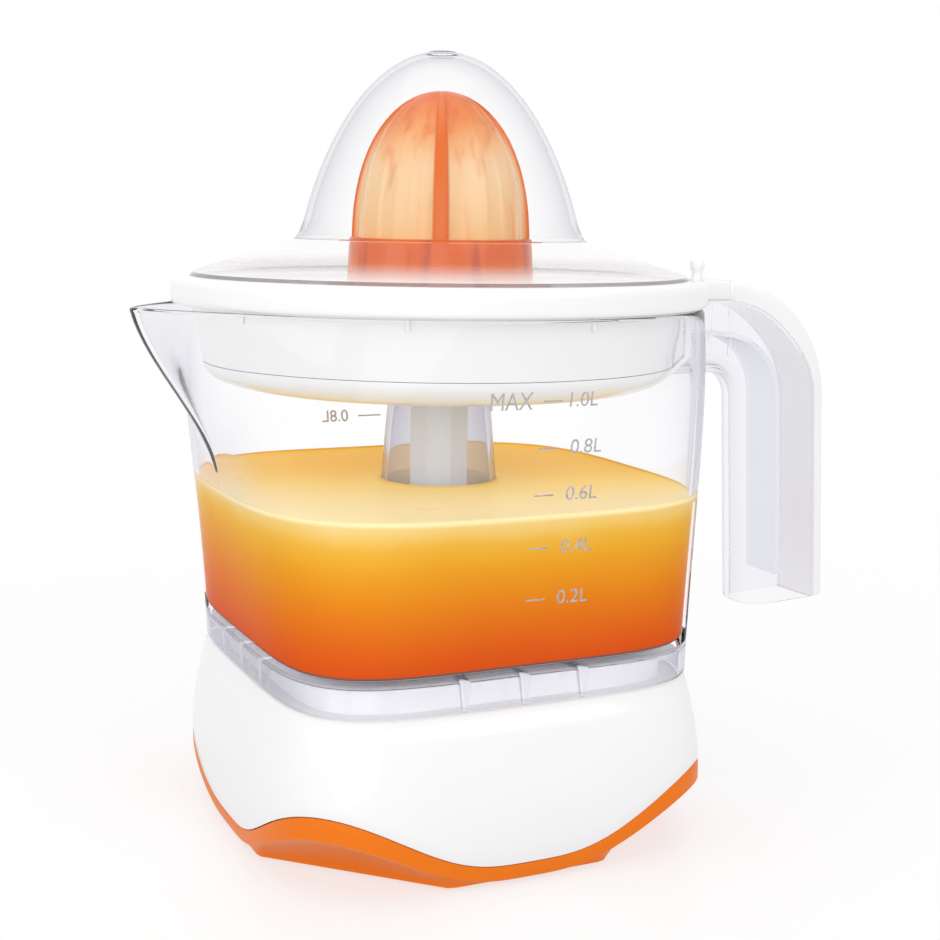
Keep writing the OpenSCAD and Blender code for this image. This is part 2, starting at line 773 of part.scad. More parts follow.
module drive_coupling() {
    color("gainsboro") difference() {
        union() {
            translate([0, 0, coupling_foot_z + 3])
                hex(hex_af - 2 * slide_fit, coupling_head_z - coupling_foot_z - 3 + eps);
            translate([0, 0, coupling_foot_z])
                cylinder(r1 = 0.8, r2 = hex_af / 2 - 1, h = 3, $fn = fine);
            translate([0, 0, coupling_head_z])
                cylinder(r = coupling_head_r, h = coupling_top_z - coupling_head_z, $fn = fine);
        }
        translate([0, 0, socket_z])
            hex(plug_af + 2 * slide_fit, coupling_top_z - socket_z + 1);
    }
}

module drive_shaft() {
    color("silver") difference() {
        union() {
            translate([0, 0, socket_z + 0.3]) hex(plug_af, shaft_z - socket_z + eps);
            translate([0, 0, shaft_z])
                cylinder(r = shaft_prism_r, h = bush_z - 0.2 - shaft_z, $fn = 8);
            translate([0, 0, bush_z - 0.2 - eps])
                cylinder(r = journal_r, h = journal_top - bush_z + 0.2 + eps, $fn = fine);
            translate([0, 0, journal_top - eps]) hex(plug_af, plug_top - journal_top + eps);
        }
        translate([0, 0, bush_z + bush_h + 0.2])
            difference() {
                cylinder(r = journal_r + 1, h = clip_t, $fn = fine);
                translate([0, 0, -1]) cylinder(r = journal_r - 0.8, h = clip_t + 2, $fn = fine);
            }
    }
}

module shaft_clip() {
    color("silver") translate([0, 0, bush_z + bush_h + 0.2]) difference() {
        tube(journal_r + 1.6, journal_r - 0.8, clip_t);
        translate([-1.5, 0, -1]) cube([3, 10, 3]);
    }
}

module guide_bush() {
    color("white") translate([0, 0, bush_z]) difference() {
        union() {
            cylinder(r = bush_r, h = bush_h, $fn = fine);
            for (a = [0, 180]) rotate([0, 0, a])
                translate([bush_r - 1, -1, 0]) cube([2, 2, bush_h]);
        }
        translate([0, 0, -1]) cylinder(r = journal_r + run_fit, h = bush_h + 2, $fn = fine);
    }
}

// ---------------------------------------------------------------- switch

module micro_switch() {
    color("black") difference() {
        union() {
            translate([-7, -3.2, switch_z]) cube([22, 6.4, switch_h]);
            for (s = [-1, 1])
                translate([lever_pivot[0] - 1.5, s * 2.6 - 0.6, switch_z + switch_h - 0.2])
                    cube([3, 1.2, 3.6]);
        }
        for (x = [-4, 10]) translate([x, 0, switch_z - 1])
            cylinder(r = 1.3, h = switch_h - 0.6, $fn = fine);
        translate([plunger_x, 0, switch_z + switch_h - 5])
            cylinder(r = plunger_r + run_fit, h = 8, $fn = fine);
        translate([lever_pivot[0], 10, lever_pivot[1]]) rotate([90, 0, 0])
            cylinder(r = lever_pin_r, h = 20, $fn = fine);
    }
}

module switch_screws() {
    color("silver") for (x = [-4, 10]) translate([x, 0, tray_z + 1.2])
        cylinder(r = 0.8, h = switch_z - tray_z + 3, $fn = fine);
}

// Slope of the lever at rest: its upper face lies just under the coupling's tip
lever_rise = (coupling_foot_z - seat_gap - lever_base - lever_t - 0.1 - lever_pivot[1])
    / lever_pivot[0];

module switch_plunger() {
    top = lever_pivot[1] + lever_rise * (lever_pivot[0] - plunger_x) + lever_base - seat_gap;
    low = switch_z + switch_h - 5 + press_stroke;
    color("red") translate([plunger_x, 0, low])
        cylinder(r = plunger_r, h = top - low, $fn = fine);
}

module lever_pin() {
    color("silver") translate([lever_pivot[0], 3.2, lever_pivot[1]])
        rotate([90, 0, 0]) cylinder(r = lever_pin_r, h = 6.4, $fn = fine);
}

module switch_lever() {
    arm = lever_pivot[0] + 3;
    color("silver") translate([lever_pivot[0], 0, lever_pivot[1]])
        difference() {
            union() {
                rotate([0, atan(lever_rise), 0])
                    translate([-arm, -1.6, lever_base]) cube([arm, 3.2, lever_t]);
                translate([0, 1.7, 0]) rotate([90, 0, 0]) cylinder(r = 1.3, h = 3.4, $fn = fine);
            }
            translate([0, 5, 0]) rotate([90, 0, 0])
                cylinder(r = lever_pin_r + run_fit, h = 10, $fn = fine);
        }
}

// ---------------------------------------------------------------- jug

chimney_foot_r = chimney_foot_d / 2;
chimney_top_r = chimney_top_d / 2;
chimney_wall = 1.8;
function chimney_r(z) = mix(chimney_foot_r, chimney_top_r,
                            (z - floor_z) / (chimney_top - floor_z));

module jug_body() {
    corner = 3;
    function out_ring(h) = ring_at([for (t = angles) jug_r(t, h)], [for (t = angles) jug_z + h]);
    function in_ring(h, more) = ring_at(
        [for (t = angles) jug_r(t, h) - jug_wall - more], [for (t = angles) jug_z + h]);
    function round_ring(r, z) = ring_at([for (t = angles) r], [for (t = angles) z]);
    under = skirt_h - jug_wall;
    function climb(k) = mix(spout_start, jug_h - 1, k / 6);
    loft(concat(
        [out_ring(0), out_ring(skirt_h), out_ring(mix(skirt_h, spout_start, 0.5))],
        [for (k = [0 : 6]) out_ring(climb(k))],
        [ring_at([for (t = angles) jug_r(t, jug_h) - 0.6], [for (t = angles) rim_z]),
         ring_at([for (t = angles) jug_r(t, jug_h) - jug_wall + 0.4], [for (t = angles) rim_z])],
        [for (k = [6 : -1 : 0]) in_ring(climb(k), 0)],
        [in_ring(mix(skirt_h, spout_start, 0.5), 0), in_ring(skirt_h + corner, 0),
         in_ring(skirt_h + 0.8, 0.8), in_ring(skirt_h, corner),
         round_ring(chimney_r(floor_z) + 2, floor_z),
         round_ring(chimney_r(floor_z + 2), floor_z + 2),
         round_ring(chimney_r(chimney_top), chimney_top),
         round_ring(chimney_r(chimney_top) - chimney_wall, chimney_top),
         round_ring(chimney_r(jug_z + under) - chimney_wall, jug_z + under),
         in_ring(under, 0.6), in_ring(0, 0)]), true);
}

// A station along the handle: [origin, outward direction] in the XZ plane
lean_dir = [cos(handle_lean), sin(handle_lean)];
down_dir = [sin(handle_lean), -cos(handle_lean)];
bend_z = rim_z + 6.6 - back_r;
bend_centre = [bend_x, bend_z];
grip_len = (bend_z - (jug_z + handle_foot)) / cos(handle_lean);
bend_steps = 12;
bend_turns = [for (k = [0 : bend_steps]) k * (90 - handle_lean) / bend_steps];
bend_stations = [for (a = bend_turns) [bend_centre, [sin(a), cos(a)], a]];
grip_stations = [
    [bend_centre + down_dir * grip_len * 0.5, lean_dir, 90],
    [bend_centre + down_dir * grip_len, [1 / cos(handle_lean), 0], 90]
];

function cover_in(a) = back_r - mix(cover_t, cover_grip_t, ease((a - 40) / 50));

function place(station, rho, y) =
    [station[0][0] + station[1][0] * rho, y, station[0][1] + station[1][1] * rho];

// U section, open towards the outside and round towards the fingers
function u_section(rho_open, w, nose, wall) =
    let (h = w / 2, r = min(h - 0.5, 8),
         outer = concat(
             [[rho_open, -h]],
             [for (b = [0 : 22.5 : 90]) [nose + r - r * sin(b), -h + r - r * cos(b)]],
             [for (b = [90 : -22.5 : 0]) [nose + r - r * sin(b), h - r + r * cos(b)]],
             [[rho_open, h]]),
         hi = h - wall, ri = r - wall / 2,
         inner = concat(
             [[rho_open, hi]],
             [for (b = [0 : 22.5 : 90])
                 [nose + wall + ri - ri * sin(b), hi - ri + ri * cos(b)]],
             [for (b = [90 : -22.5 : 0])
                 [nose + wall + ri - ri * sin(b), -hi + ri - ri * cos(b)]],
             [[rho_open, -hi]]))
    concat(outer, inner);

// The handle's first station lies inside the sloping jug wall
root_low = [jug_half((bend_z + grip_r - jug_z) / jug_h) - jug_wall / 2,
            bend_z + grip_r];
root_high = [jug_rim_r - jug_wall / 2 - 0.3, rim_z];
function root_place(p, f) =
    let (h = (p[0] - grip_r) / (rim_z - bend_z - grip_r),
         x = mix(root_low[0], root_high[0], h))
    [mix(x, bend_x, f), p[1], bend_z + p[0]];

module handle_shell() {
    function section(a) = u_section(cover_in(a) - seat_gap, handle_w, grip_r, handle_wall);
    loft(concat(
        [[for (p = u_section(rim_z - bend_z, handle_w, grip_r, handle_wall)) root_place(p, 0)],
         [for (p = u_section(rim_z - bend_z, handle_w, grip_r, handle_wall)) root_place(p, 0.97)]],
        [for (s = bend_stations) [for (p = section(s[2])) place(s, p[0], p[1])]],
        [for (s = grip_stations) [for (p = section(90)) place(s, p[0], p[1])]]), fold = true);
}

web_rho = 21.4;
web_t = 1.6;
web_turns = [for (k = [0 : 9]) 1 + k * (88 - handle_lean) / 9];
module handle_web() {
    h = handle_w / 2 - handle_wall + 0.4;
    web = [[web_rho + web_t, -h], [web_rho, -h], [web_rho, h], [web_rho + web_t, h]];
    stations = concat(
        [for (a = web_turns) [bend_centre, [sin(a), cos(a)]]],
        [[bend_centre + down_dir * (grip_len - 9), lean_dir]]);
    loft([for (s = stations) [for (p = web) place(s, p[0], p[1])]]);
}

gusset_step = 18;
module skirt_gussets() {
    for (a = [0 : 90 : 270]) rotate([0, 0, a])
        for (k = [-1 : 1]) translate([0, 0, jug_z])
            linear_extrude(height = skirt_h - jug_wall + 0.8) polygon([
                [jug_foot_a - jug_wall + 0.8, k * gusset_step - 1.8],
                [jug_foot_a - jug_wall + 0.8, k * gusset_step + 1.8],
                [jug_foot_a - jug_wall - 4, k * gusset_step + 0.4],
                [jug_foot_a - jug_wall - 4, k * gusset_step - 0.4]]);
}

module jug() {
    color([0.86, 0.86, 0.92]) union() {
        jug_body();
        handle_shell();
        handle_web();
        skirt_gussets();
    }
}

module handle_cover() {
    h = handle_w / 2;
    function section(a) = [
        [back_r - 1.2, h], [cover_in(a), h], [cover_in(a), -h], [back_r - 1.2, -h],
        [back_r, -h + 1.8], [back_r, h - 1.8]
    ];
    start = bend_centre + [seat_gap + tab_reach - bend_x + 0.4, 0];
    color("white") loft(concat(
        [[for (p = section(0)) place([start, [0, 1]], p[0], p[1])]],
        [for (s = bend_stations) if (s[2] > 6) [for (p = section(s[2])) place(s, p[0], p[1])]],
        [for (s = grip_stations) [for (p = section(90)) place(s, p[0], p[1])]]));
}

// ---------------------------------------------------------------- sieve

cup_foot_r = bowl_r - 2.8;
cup_top = cup_z + cup_h;
slot_from = hood_r + bowl_wall + 9;
slot_to = cup_foot_r - corner_w - 1;
arm_r = bowl_r + 0.5;
arm_t = 1.7;
knob_ring_r = arm_r + arm_t + 1;
arm_w = 8;
regulator_turn = 180 / slot_count;

// Rounded corner from the floor at z up to the wall at z_wall, as points [r, z]
function corner_arc(r, z, z_wall) =
    [for (a = [0 : 15 : 90]) [r - corner_w * (1 - sin(a)), mix(z_wall, z, cos(a))]];
function backwards(list) = [for (k = [len(list) - 1 : -1 : 0]) list[k]];

module radial_slots(z, h) {
    for (k = [0 : slot_count - 1]) rotate([0, 0, (k + 0.5) * 360 / slot_count])
        translate([slot_from, -slot_w / 2, z]) cube([slot_to - slot_from, slot_w, h]);
}

module sieve_bowl() {
    nest_r = cup_foot_r - cup_wall - seat_gap;
    nest_top = cup_top + seat_gap;
    lid_seat = ring_top - 1.6;
    color("white") difference() {
        union() {
            rotate_extrude($fn = 96) polygon(concat(
                [[hood_r + bowl_wall + 3, bowl_z]],
                corner_arc(nest_r, bowl_z, nest_top),
                [[cup_foot_r, nest_top], [bowl_r, ring_z],
                 [ring_d / 2 - 1.2, ring_z], [ring_d / 2, ring_z + 1.6],
                 [ring_d / 2, ring_top - 2.4], [ring_d / 2 - 0.7, ring_top - 0.7],
                 [ring_d / 2 - 2.4, ring_top], [lid_d / 2 + 0.4, ring_top],
                 [lid_d / 2 + 0.4, lid_seat], [bowl_r - bowl_wall, lid_seat]],
                backwards(corner_arc(nest_r - bowl_wall, bowl_floor, nest_top + 2)),
                [[hood_r + bowl_wall + 3, bowl_floor],
                 [hood_r + bowl_wall, bowl_floor + 4], [hood_r + bowl_wall, hood_top - 1.5],
                 [hood_r + bowl_wall - 1.5, hood_top],
                 [hub_in_r, hood_top], [hub_in_r, bush_z + seat_gap],
                 [hub_out_r, bush_z + seat_gap],
                 [hub_out_r, hood_top - bowl_wall], [hood_r, hood_top - bowl_wall],
                 [hood_r, bowl_z + 4]]));
            tab();
        }
        radial_slots(bowl_z - 1, bowl_wall + 2);
        for (a = [0, 180]) rotate([0, 0, a])
            translate([0, -1 - seat_gap, cup_z]) cube([bush_r + 1.5, 2 + 2 * seat_gap, 30]);
        lever_slot();
    }
}

// Tab that lies over the top of the handle
module tab() {
    from = ring_d / 2 - 4;
    translate([from, -tab_w / 2, ring_z]) cube([tab_reach - from, tab_w, ring_h - 1.6]);
}

// Curved slot through the ring, as long as the lever's travel: wide enough
// for the arm below, and for the knob above
module lever_slot() {
    knob_half = asin((knob_d / 2 + 0.5) / knob_ring_r);
    arm_half = asin((arm_w / 2 + 0.5) / bowl_r);
    for (cut = [[arm_half, bowl_r + 0.2, arm_r + arm_t + 0.5, 3.2],
                [knob_half, knob_ring_r - knob_d / 2 - 0.6, knob_ring_r + knob_d / 2 + 0.4,
                 ring_h + 3]])
        translate([0, 0, ring_z - 1]) rotate([0, 0, lever_angle - cut[0]])
            rotate_extrude(angle = regulator_turn + 2 * cut[0], $fn = 96)
                translate([cut[1], 0]) square([cut[2] - cut[1], cut[3]]);
}

module pulp_regulator() {
    r = cup_foot_r;
    arm_half = asin(arm_w / 2 / arm_r);
    color("white") difference() {
        union() {
            rotate_extrude($fn = 96) polygon(concat(
                [[hood_r + bowl_wall + 4, cup_z]],
                corner_arc(r, cup_z, cup_top),
                backwards(corner_arc(r - cup_wall, cup_z + cup_wall, cup_top)),
                [[hood_r + bowl_wall + 4, cup_z + cup_wall]]));
            rotate([0, 0, lever_angle]) {
                rotate([0, 0, -arm_half]) rotate_extrude(angle = 2 * arm_half, $fn = 96)
                    polygon([[r - 1, cup_top - 3], [arm_r + arm_t, cup_top + 3],
                             [arm_r + arm_t, ring_z + 1.6], [arm_r, ring_z + 1.6],
                             [arm_r, cup_top + 3], [r - 0.5, cup_top - 0.6]]);
                translate([knob_ring_r, 0, ring_z + 0.6])
                    cylinder(r = knob_d / 2, h = ring_h - 0.6 + knob_h, $fn = fine);
            }
        }
        radial_slots(cup_z - 1, cup_wall + 2);
    }
}

// ---------------------------------------------------------------- reamers

module small_reamer() {
    r = small_d / 2;
    top_z = flange_z + small_h;
    wall = 2;
    steps = 7;
    function dome(k, less) =
        [dome_curve(r - less, 1 - k / steps, 0.4), flange_z + flange_t + (small_h - less) * k / steps];
    color("orangered") union() {
        rotate_extrude($fn = fine) polygon(concat(
            [[r - wall - 1, flange_z], [skirt_r - 5.6, flange_z],
             [skirt_r - 5.6, flange_z + flange_t]],
            [for (k = [0 : steps]) dome(k, 0)],
            [for (k = [steps : -1 : 0]) dome(k, wall)]));
        for (k = [0 : rib_count - 1]) rotate([90, 0, k * 360 / rib_count])
            translate([0, 0, -0.9]) linear_extrude(height = 1.8) polygon(concat(
                [[r - wall, flange_z + 1]],
                [for (j = [0 : steps - 2]) dome(j, -1.4)],
                [for (j = [steps - 2 : -1 : 0]) dome(j, wall * 0.6)]));
        difference() {
            translate([0, 0, small_z])
                cylinder(r = hub_r - 0.6, h = plug_top - small_z + 2.4, $fn = fine);
            translate([0, 0, small_z - 1]) hex(plug_af + 2 * slide_fit, plug_top - small_z + 1.4);
        }
        for (k = [0 : 2]) rotate([0, 0, k * 120 + 30])
            translate([hub_r - 1.2, -0.8, flange_z + 0.4])
                cube([r - wall - hub_r + 2, 1.6, 8]);
    }
}

// Height profile of the large reamer's ribbed skin: radius at level share f
function rib_wave(t) = pow(abs(cos((t - rib_turn) * rib_count / 2)), 3);
function reamer_r(t, f) =
    let (r = dome_curve(reamer_d / 2, f, 0.5))
    r - groove_depth * (1 - rib_wave(t)) * min(1, r / 14);

reamer_levels = [0.01, 0.04, 0.1, 0.2, 0.34, 0.52, 0.74, 1];

module large_reamer() {
    function rib_ring(f) = ring_at([for (t = angles) reamer_r(t, f)],
                                   [for (t = angles) tip_z - reamer_h * f]);
    function round_ring(r, z) = ring_at([for (t = angles) r], [for (t = angles) z]);
    color("coral") difference() {
        loft(concat(
            [round_ring(skirt_r, skirt_z), round_ring(skirt_r - 1.6, ledge_z - 1),
             round_ring(skirt_r - 2.2, ledge_z)],
            [for (f = backwards(reamer_levels)) rib_ring(f)]));
        reamer_hollow();
    }
}

// Room for the small reamer: a skirt space, a step that rests on the small
// reamer's flange, and a smooth dome
module reamer_hollow() {
    rest_z = flange_z + flange_t + seat_gap;
    dome_r = reamer_d / 2 - groove_depth - reamer_wall;
    top = tip_z - 2 * reamer_wall;
    rotate_extrude($fn = fine) polygon(concat(
        [[0, skirt_z - 1], [skirt_r - reamer_wall, skirt_z - 1],
         [skirt_r - reamer_wall - 0.6, rest_z], [dome_r, rest_z]],
        [for (f = [1 : -0.14 : 0.16]) [dome_curve(dome_r, f, 0.5), top - (top - ledge_z) * f]],
        [[dome_curve(dome_r, 0.05, 0.5), top - (top - ledge_z) * 0.05],
         [0, top]]));
}

// ---------------------------------------------------------------- lid

module lid() {
    r = dome_d / 2;
    brim_r = lid_d / 2;
    brim_z = ring_top - 1.6 + seat_gap;
    apex_z = ring_top + lid_h - 0.4;
    foot_z = apex_z - dome_h;
    steps = 14;
    function skin(k, less) =
        let (f = pow(k / steps, 1.6))
        [max(0, dome_curve(r, f, 0.19) - less), apex_z - dome_h * f - (k == 0 ? less : 0)];
    color([0.9, 0.9, 0.95]) rotate_extrude($fn = 96) polygon(concat(
        [for (k = [0 : steps]) skin(k, 0)],
        [[r + 3, foot_z - 1.6], [brim_r - 1.4, brim_z + 2.6], [brim_r, brim_z + 1.6],
         [brim_r, brim_z], [brim_r - 3, brim_z], [r + 1.2, foot_z - 3.2]],
        [for (k = [steps : -1 : 0]) skin(k, lid_wall)]));
}

// ---------------------------------------------------------------- assembly

base_housing();
bottom_tray();
rubber_feet();
tray_screws();
cord_grommet();
motor_can();
motor_cover();
motor_screws();
stator_bobbin();
stator_coil();
pole_ring();
rotor_bushes();
rotor_magnet();
rotor_shaft();
rotor_pinion();
gear_plate();
gearbox_cover();
gearbox_screws();
thrust_washer();
output_bush();
idler_axle();
idler_gear();
output_gear();
return_spring();
drive_coupling();
turret_seal();
micro_switch();
switch_screws();
switch_plunger();
switch_lever();
lever_pin();
jug();
handle_cover();
sieve_bowl();
pulp_regulator();
guide_bush();
drive_shaft();
shaft_clip();
small_reamer();
large_reamer();
lid();
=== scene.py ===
# %% [markdown]
# # A citrus press, finished in Blender
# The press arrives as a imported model: every part is already in its place and at its real
# size. This notebook gives it its looks. Shells that show are modelled again with smooth
# skins, the parts inside keep their shape and get a finish, and the jug gets its juice.

# %% The frame
import json
import math

import bmesh
import bpy
from mathutils import Matrix, Vector


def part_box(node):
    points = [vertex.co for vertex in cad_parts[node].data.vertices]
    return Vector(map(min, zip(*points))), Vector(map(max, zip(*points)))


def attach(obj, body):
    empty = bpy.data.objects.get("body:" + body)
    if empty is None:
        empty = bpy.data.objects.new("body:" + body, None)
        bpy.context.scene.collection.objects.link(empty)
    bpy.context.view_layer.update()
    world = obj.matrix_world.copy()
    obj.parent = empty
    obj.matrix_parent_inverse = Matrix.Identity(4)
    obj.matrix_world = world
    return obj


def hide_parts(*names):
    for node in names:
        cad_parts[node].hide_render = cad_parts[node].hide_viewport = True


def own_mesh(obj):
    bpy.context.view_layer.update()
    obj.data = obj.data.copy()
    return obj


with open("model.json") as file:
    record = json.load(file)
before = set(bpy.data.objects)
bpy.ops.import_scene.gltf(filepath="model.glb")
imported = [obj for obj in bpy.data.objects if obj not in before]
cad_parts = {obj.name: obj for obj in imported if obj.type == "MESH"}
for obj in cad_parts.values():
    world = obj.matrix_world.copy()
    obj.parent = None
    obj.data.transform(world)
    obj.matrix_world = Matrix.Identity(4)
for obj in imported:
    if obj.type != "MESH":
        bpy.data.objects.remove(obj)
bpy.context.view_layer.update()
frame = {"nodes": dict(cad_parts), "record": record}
MM = 0.001

# %% [markdown]
# ## Sizes
# A maker works from a few sizes and lets the rest follow. Levels come from the packed
# parts where a part's own box tells them, and the curves of the shells are rules of the
# angle round the drive axis, so that a skin stays true however finely it is cut.

# %% Levels and radii, in millimetres


def foot_of(node):
    """Lowest level of a part of the frame."""
    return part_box(node)[0].z / MM


def top_of(node):
    """Highest level of a part of the frame."""
    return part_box(node)[1].z / MM


seat_gap = 0.3
tray_z = foot_of("bottom_tray")
jug_z = foot_of("jug")
deck_z = jug_z - seat_gap
turret_top = top_of("base_housing")
jug_h = 105.7
rim_z = jug_z + jug_h
ring_z = rim_z + seat_gap
ring_top = top_of("sieve_bowl")
floor_z = jug_z + 10.3
jug_wall = 2.3
jug_rim_r = 78.0
jug_foot_a = 62.9
bowl_r = 72.3
ring_r = 79.1
chimney_top = 139.9
print("deck", round(deck_z, 1), "rim", round(rim_z, 1), "ring top", round(ring_top, 1))

# %% Curves that the shells share


def mix(a, b, f):
    """The value a share f of the way from a to b."""
    return a + (b - a) * f


def ease(f):
    """A share that starts and ends softly."""
    f = max(0.0, min(1.0, f))
    return f * f * (3 - 2 * f)


def rounded_square(t, half, power):
    """Radius at angle t, in degrees, of a square of that half width with full corners."""
    c, s = abs(math.cos(math.radians(t))), abs(math.sin(math.radians(t)))
    return half * (c**power + s**power) ** (-1 / power)


def wave(t):
    """How far the waved edge has risen: 0 in the middle of a side, 1 at a corner."""
    return abs(math.sin(math.radians(2 * t))) ** 3.5


base_power = 4.6
base_half_low, base_half_top = 67.8, 63.2
belly_z = 17.6


def base_half(z):
    """Half width of the base: a barrel, widest at the belly."""
    share = (z - belly_z) / (deck_z - belly_z)
    return base_half_low - (base_half_low - base_half_top) * share**2


def white_edge(t):
    """Level at which the white housing ends and the coloured tray begins."""
    return 5.6 + 18 * wave(t)


def band_edge(t):
    """Level of the lower edge of the coloured band."""
    return max(tray_z, white_edge(t) - 4.6 - 2 * wave(t))


def jug_half(f):
    """Half width of the jug a share f of its height above the skirt."""
    return mix(jug_foot_a, jug_rim_r, 0.45 * f + 0.55 * f * f)


spout_tip, spout_start = 92.7, 58.0


def spout_factor(t, a, out):
    """How far the pouring lip is drawn out of the wall: two straight cheeks, a blunt nose."""
    nose = 3.5 * min(1.0, out / 5)
    cheek = math.degrees(math.acos(a / (a + out))) + nose
    off = math.hypot(180 - abs(t), nose)
    return 1 / math.cos(math.radians(cheek - off)) if off < cheek else 1.0


def jug_r(t, z):
    """Outer radius of the jug at angle t and level z."""
    f = (z - jug_z) / jug_h
    half = jug_half(f)
    out = (spout_tip - jug_rim_r) * ease((z - jug_z - spout_start) / (jug_h - spout_start))
    return rounded_square(t, half, mix(4.9, 2.0, f)) * spout_factor(t, half, out)


def chimney_r(z):
    """Outer radius of the chimney that the drive runs up."""
    return mix(21.2, 14.2, (z - floor_z) / (chimney_top - floor_z))


print("jug at the rim:", round(jug_r(0, rim_z), 1), "at the spout:", round(jug_r(180, rim_z), 1))

# %% [markdown]
# ## Camera and studio
# The press stands on a white sweep under a large soft light. The camera stands a little
# above the rim, to the left of the face with the volume scale, with a long lens.

# %% The camera
CAMERA_PLACE = Vector((-0.1876, -0.4289, 0.1809))
CAMERA_TURN, CAMERA_DIP, CAMERA_ROLL = 24.80, 9.243, 0.75
bpy.ops.object.camera_add(location=CAMERA_PLACE)
camera = bpy.context.object
camera.rotation_euler = (math.radians(90 - CAMERA_DIP), 0, -math.radians(CAMERA_TURN))
camera.rotation_euler = (camera.rotation_euler.to_matrix()
                         @ Matrix.Rotation(math.radians(CAMERA_ROLL), 3, "Z")).to_euler()
camera.data.sensor_width = 36
camera.data.lens = 59.9
camera.data.clip_start, camera.data.clip_end = 0.01, 20
bpy.context.scene.camera = camera
bpy.context.scene.view_settings.view_transform = "Standard"
print("camera at", [round(x, 3) for x in camera.location])

# %% [markdown]
# The world is white to the camera and to gloss and glass, and a plain soft grey-white as a
# light, so that white plastic keeps its shading and doesn't burn out.

# %% Nodes in short


def node(tree, kind, **values):
    """Adds a node; a value goes to the socket of that name, or to the node's own setting."""
    made = tree.nodes.new(kind)
    for key, value in values.items():
        name = key.replace("_", " ")
        socket = made.inputs.get(name) or made.inputs.get(name.title())
        if socket is not None and not hasattr(made, key):
            socket.default_value = value
        else:
            setattr(made, key, value)
    return made


def link(tree, source, target):
    """Joins an output to an input."""
    tree.links.new(source, target)


def maths(tree, operation, first, second):
    """A Math node between two outputs or numbers."""
    made = node(tree, "ShaderNodeMath", operation=operation)
    for socket, value in zip(made.inputs, (first, second)):
        if isinstance(value, (int, float)):
            socket.default_value = value
        else:
            link(tree, value, socket)
    return made.outputs[0]


def srgb(*channels):
    """A colour as it is read off a colour chart, 0 to 255, as Blender's linear light."""
    share = [c / 255 for c in channels]
    linear = [c / 12.92 if c <= 0.04045 else ((c + 0.055) / 1.055) ** 2.4 for c in share]
    return (*linear, 1)


# %% The world
WORLD_LIGHT = 0.72
world = bpy.data.worlds.new("studio")
bpy.context.scene.world = world
world.use_nodes = True
tree = world.node_tree
tree.nodes.clear()
path = node(tree, "ShaderNodeLightPath")
seen = node(tree, "ShaderNodeMath", operation="MAXIMUM")
seen_or_gloss = node(tree, "ShaderNodeMath", operation="MAXIMUM")
link(tree, path.outputs["Is Camera Ray"], seen.inputs[0])
link(tree, path.outputs["Is Glossy Ray"], seen.inputs[1])
link(tree, seen.outputs[0], seen_or_gloss.inputs[0])
link(tree, path.outputs["Is Transmission Ray"], seen_or_gloss.inputs[1])
strength = node(tree, "ShaderNodeMapRange")
link(tree, seen_or_gloss.outputs[0], strength.inputs["Value"])
strength.inputs["To Min"].default_value = WORLD_LIGHT
strength.inputs["To Max"].default_value = 1.0
sky = node(tree, "ShaderNodeBackground")
sky.inputs["Color"].default_value = (1, 1, 1, 1)
link(tree, strength.outputs[0], sky.inputs["Strength"])
link(tree, sky.outputs[0], node(tree, "ShaderNodeOutputWorld").inputs["Surface"])

# %% The floor, which melts into the white behind it
bpy.ops.mesh.primitive_circle_add(vertices=96, radius=1.6, fill_type="NGON", location=(0, 0, 0))
floor = bpy.context.object
floor.name = "floor"
white_floor = bpy.data.materials.new("white_floor")
white_floor.use_nodes = True
tree = white_floor.node_tree
finish_node = tree.nodes["Principled BSDF"]
finish_node.inputs["Base Color"].default_value = (0.98, 0.98, 0.98, 1)
finish_node.inputs["Roughness"].default_value = 0.28
finish_node.inputs["Specular IOR Level"].default_value = 0.35
away = node(tree, "ShaderNodeVectorMath", operation="LENGTH")
link(tree, node(tree, "ShaderNodeTexCoord").outputs["Object"], away.inputs[0])
fade = node(tree, "ShaderNodeMapRange", interpolation_type="SMOOTHSTEP")
link(tree, away.outputs["Value"], fade.inputs["Value"])
fade.inputs["From Min"].default_value = 0.22
fade.inputs["From Max"].default_value = 0.6
path = node(tree, "ShaderNodeLightPath")
seen = maths(tree, "MAXIMUM", maths(tree, "MAXIMUM", path.outputs["Is Camera Ray"], path.outputs["Is Glossy Ray"]),
             path.outputs["Is Transmission Ray"])
white = node(tree, "ShaderNodeEmission")
link(tree, maths(tree, "ADD", maths(tree, "MULTIPLY", seen, 0.4), 0.6), white.inputs["Strength"])
calm = node(tree, "ShaderNodeMixShader")
calm.inputs[0].default_value = 0.68
link(tree, finish_node.outputs[0], calm.inputs[1])
link(tree, white.outputs[0], calm.inputs[2])
open_floor = node(tree, "ShaderNodeBsdfTransparent")
melt = node(tree, "ShaderNodeMixShader")
link(tree, fade.outputs[0], melt.inputs[0])
link(tree, calm.outputs[0], melt.inputs[1])
link(tree, open_floor.outputs[0], melt.inputs[2])
link(tree, melt.outputs[0], tree.nodes["Material Output"].inputs["Surface"])
floor.data.materials.append(white_floor)

# %% Lamps


def lamp(name, place, aim, size, power):
    """A square softbox that looks at a point."""
    bpy.ops.object.light_add(type="AREA", location=place)
    box = bpy.context.object
    box.name = name
    box.data.size = size
    box.data.energy = power
    box.rotation_euler = (Vector(aim) - Vector(place)).to_track_quat("-Z", "Y").to_euler()
    return box


MIDDLE = (0, 0, 0.11)
lamp("key", (0.45, -1.15, 0.7), MIDDLE, 0.8, 3.2)
lamp("front", (-0.6, -1.0, 0.3), MIDDLE, 0.8, 2.7)
lamp("top", (-0.1, 0.1, 1.3), MIDDLE, 1.0, 3.2)
lamp("side", (-1.2, -0.2, 0.5), MIDDLE, 0.7, 2.6)
print("three softboxes and a white world")

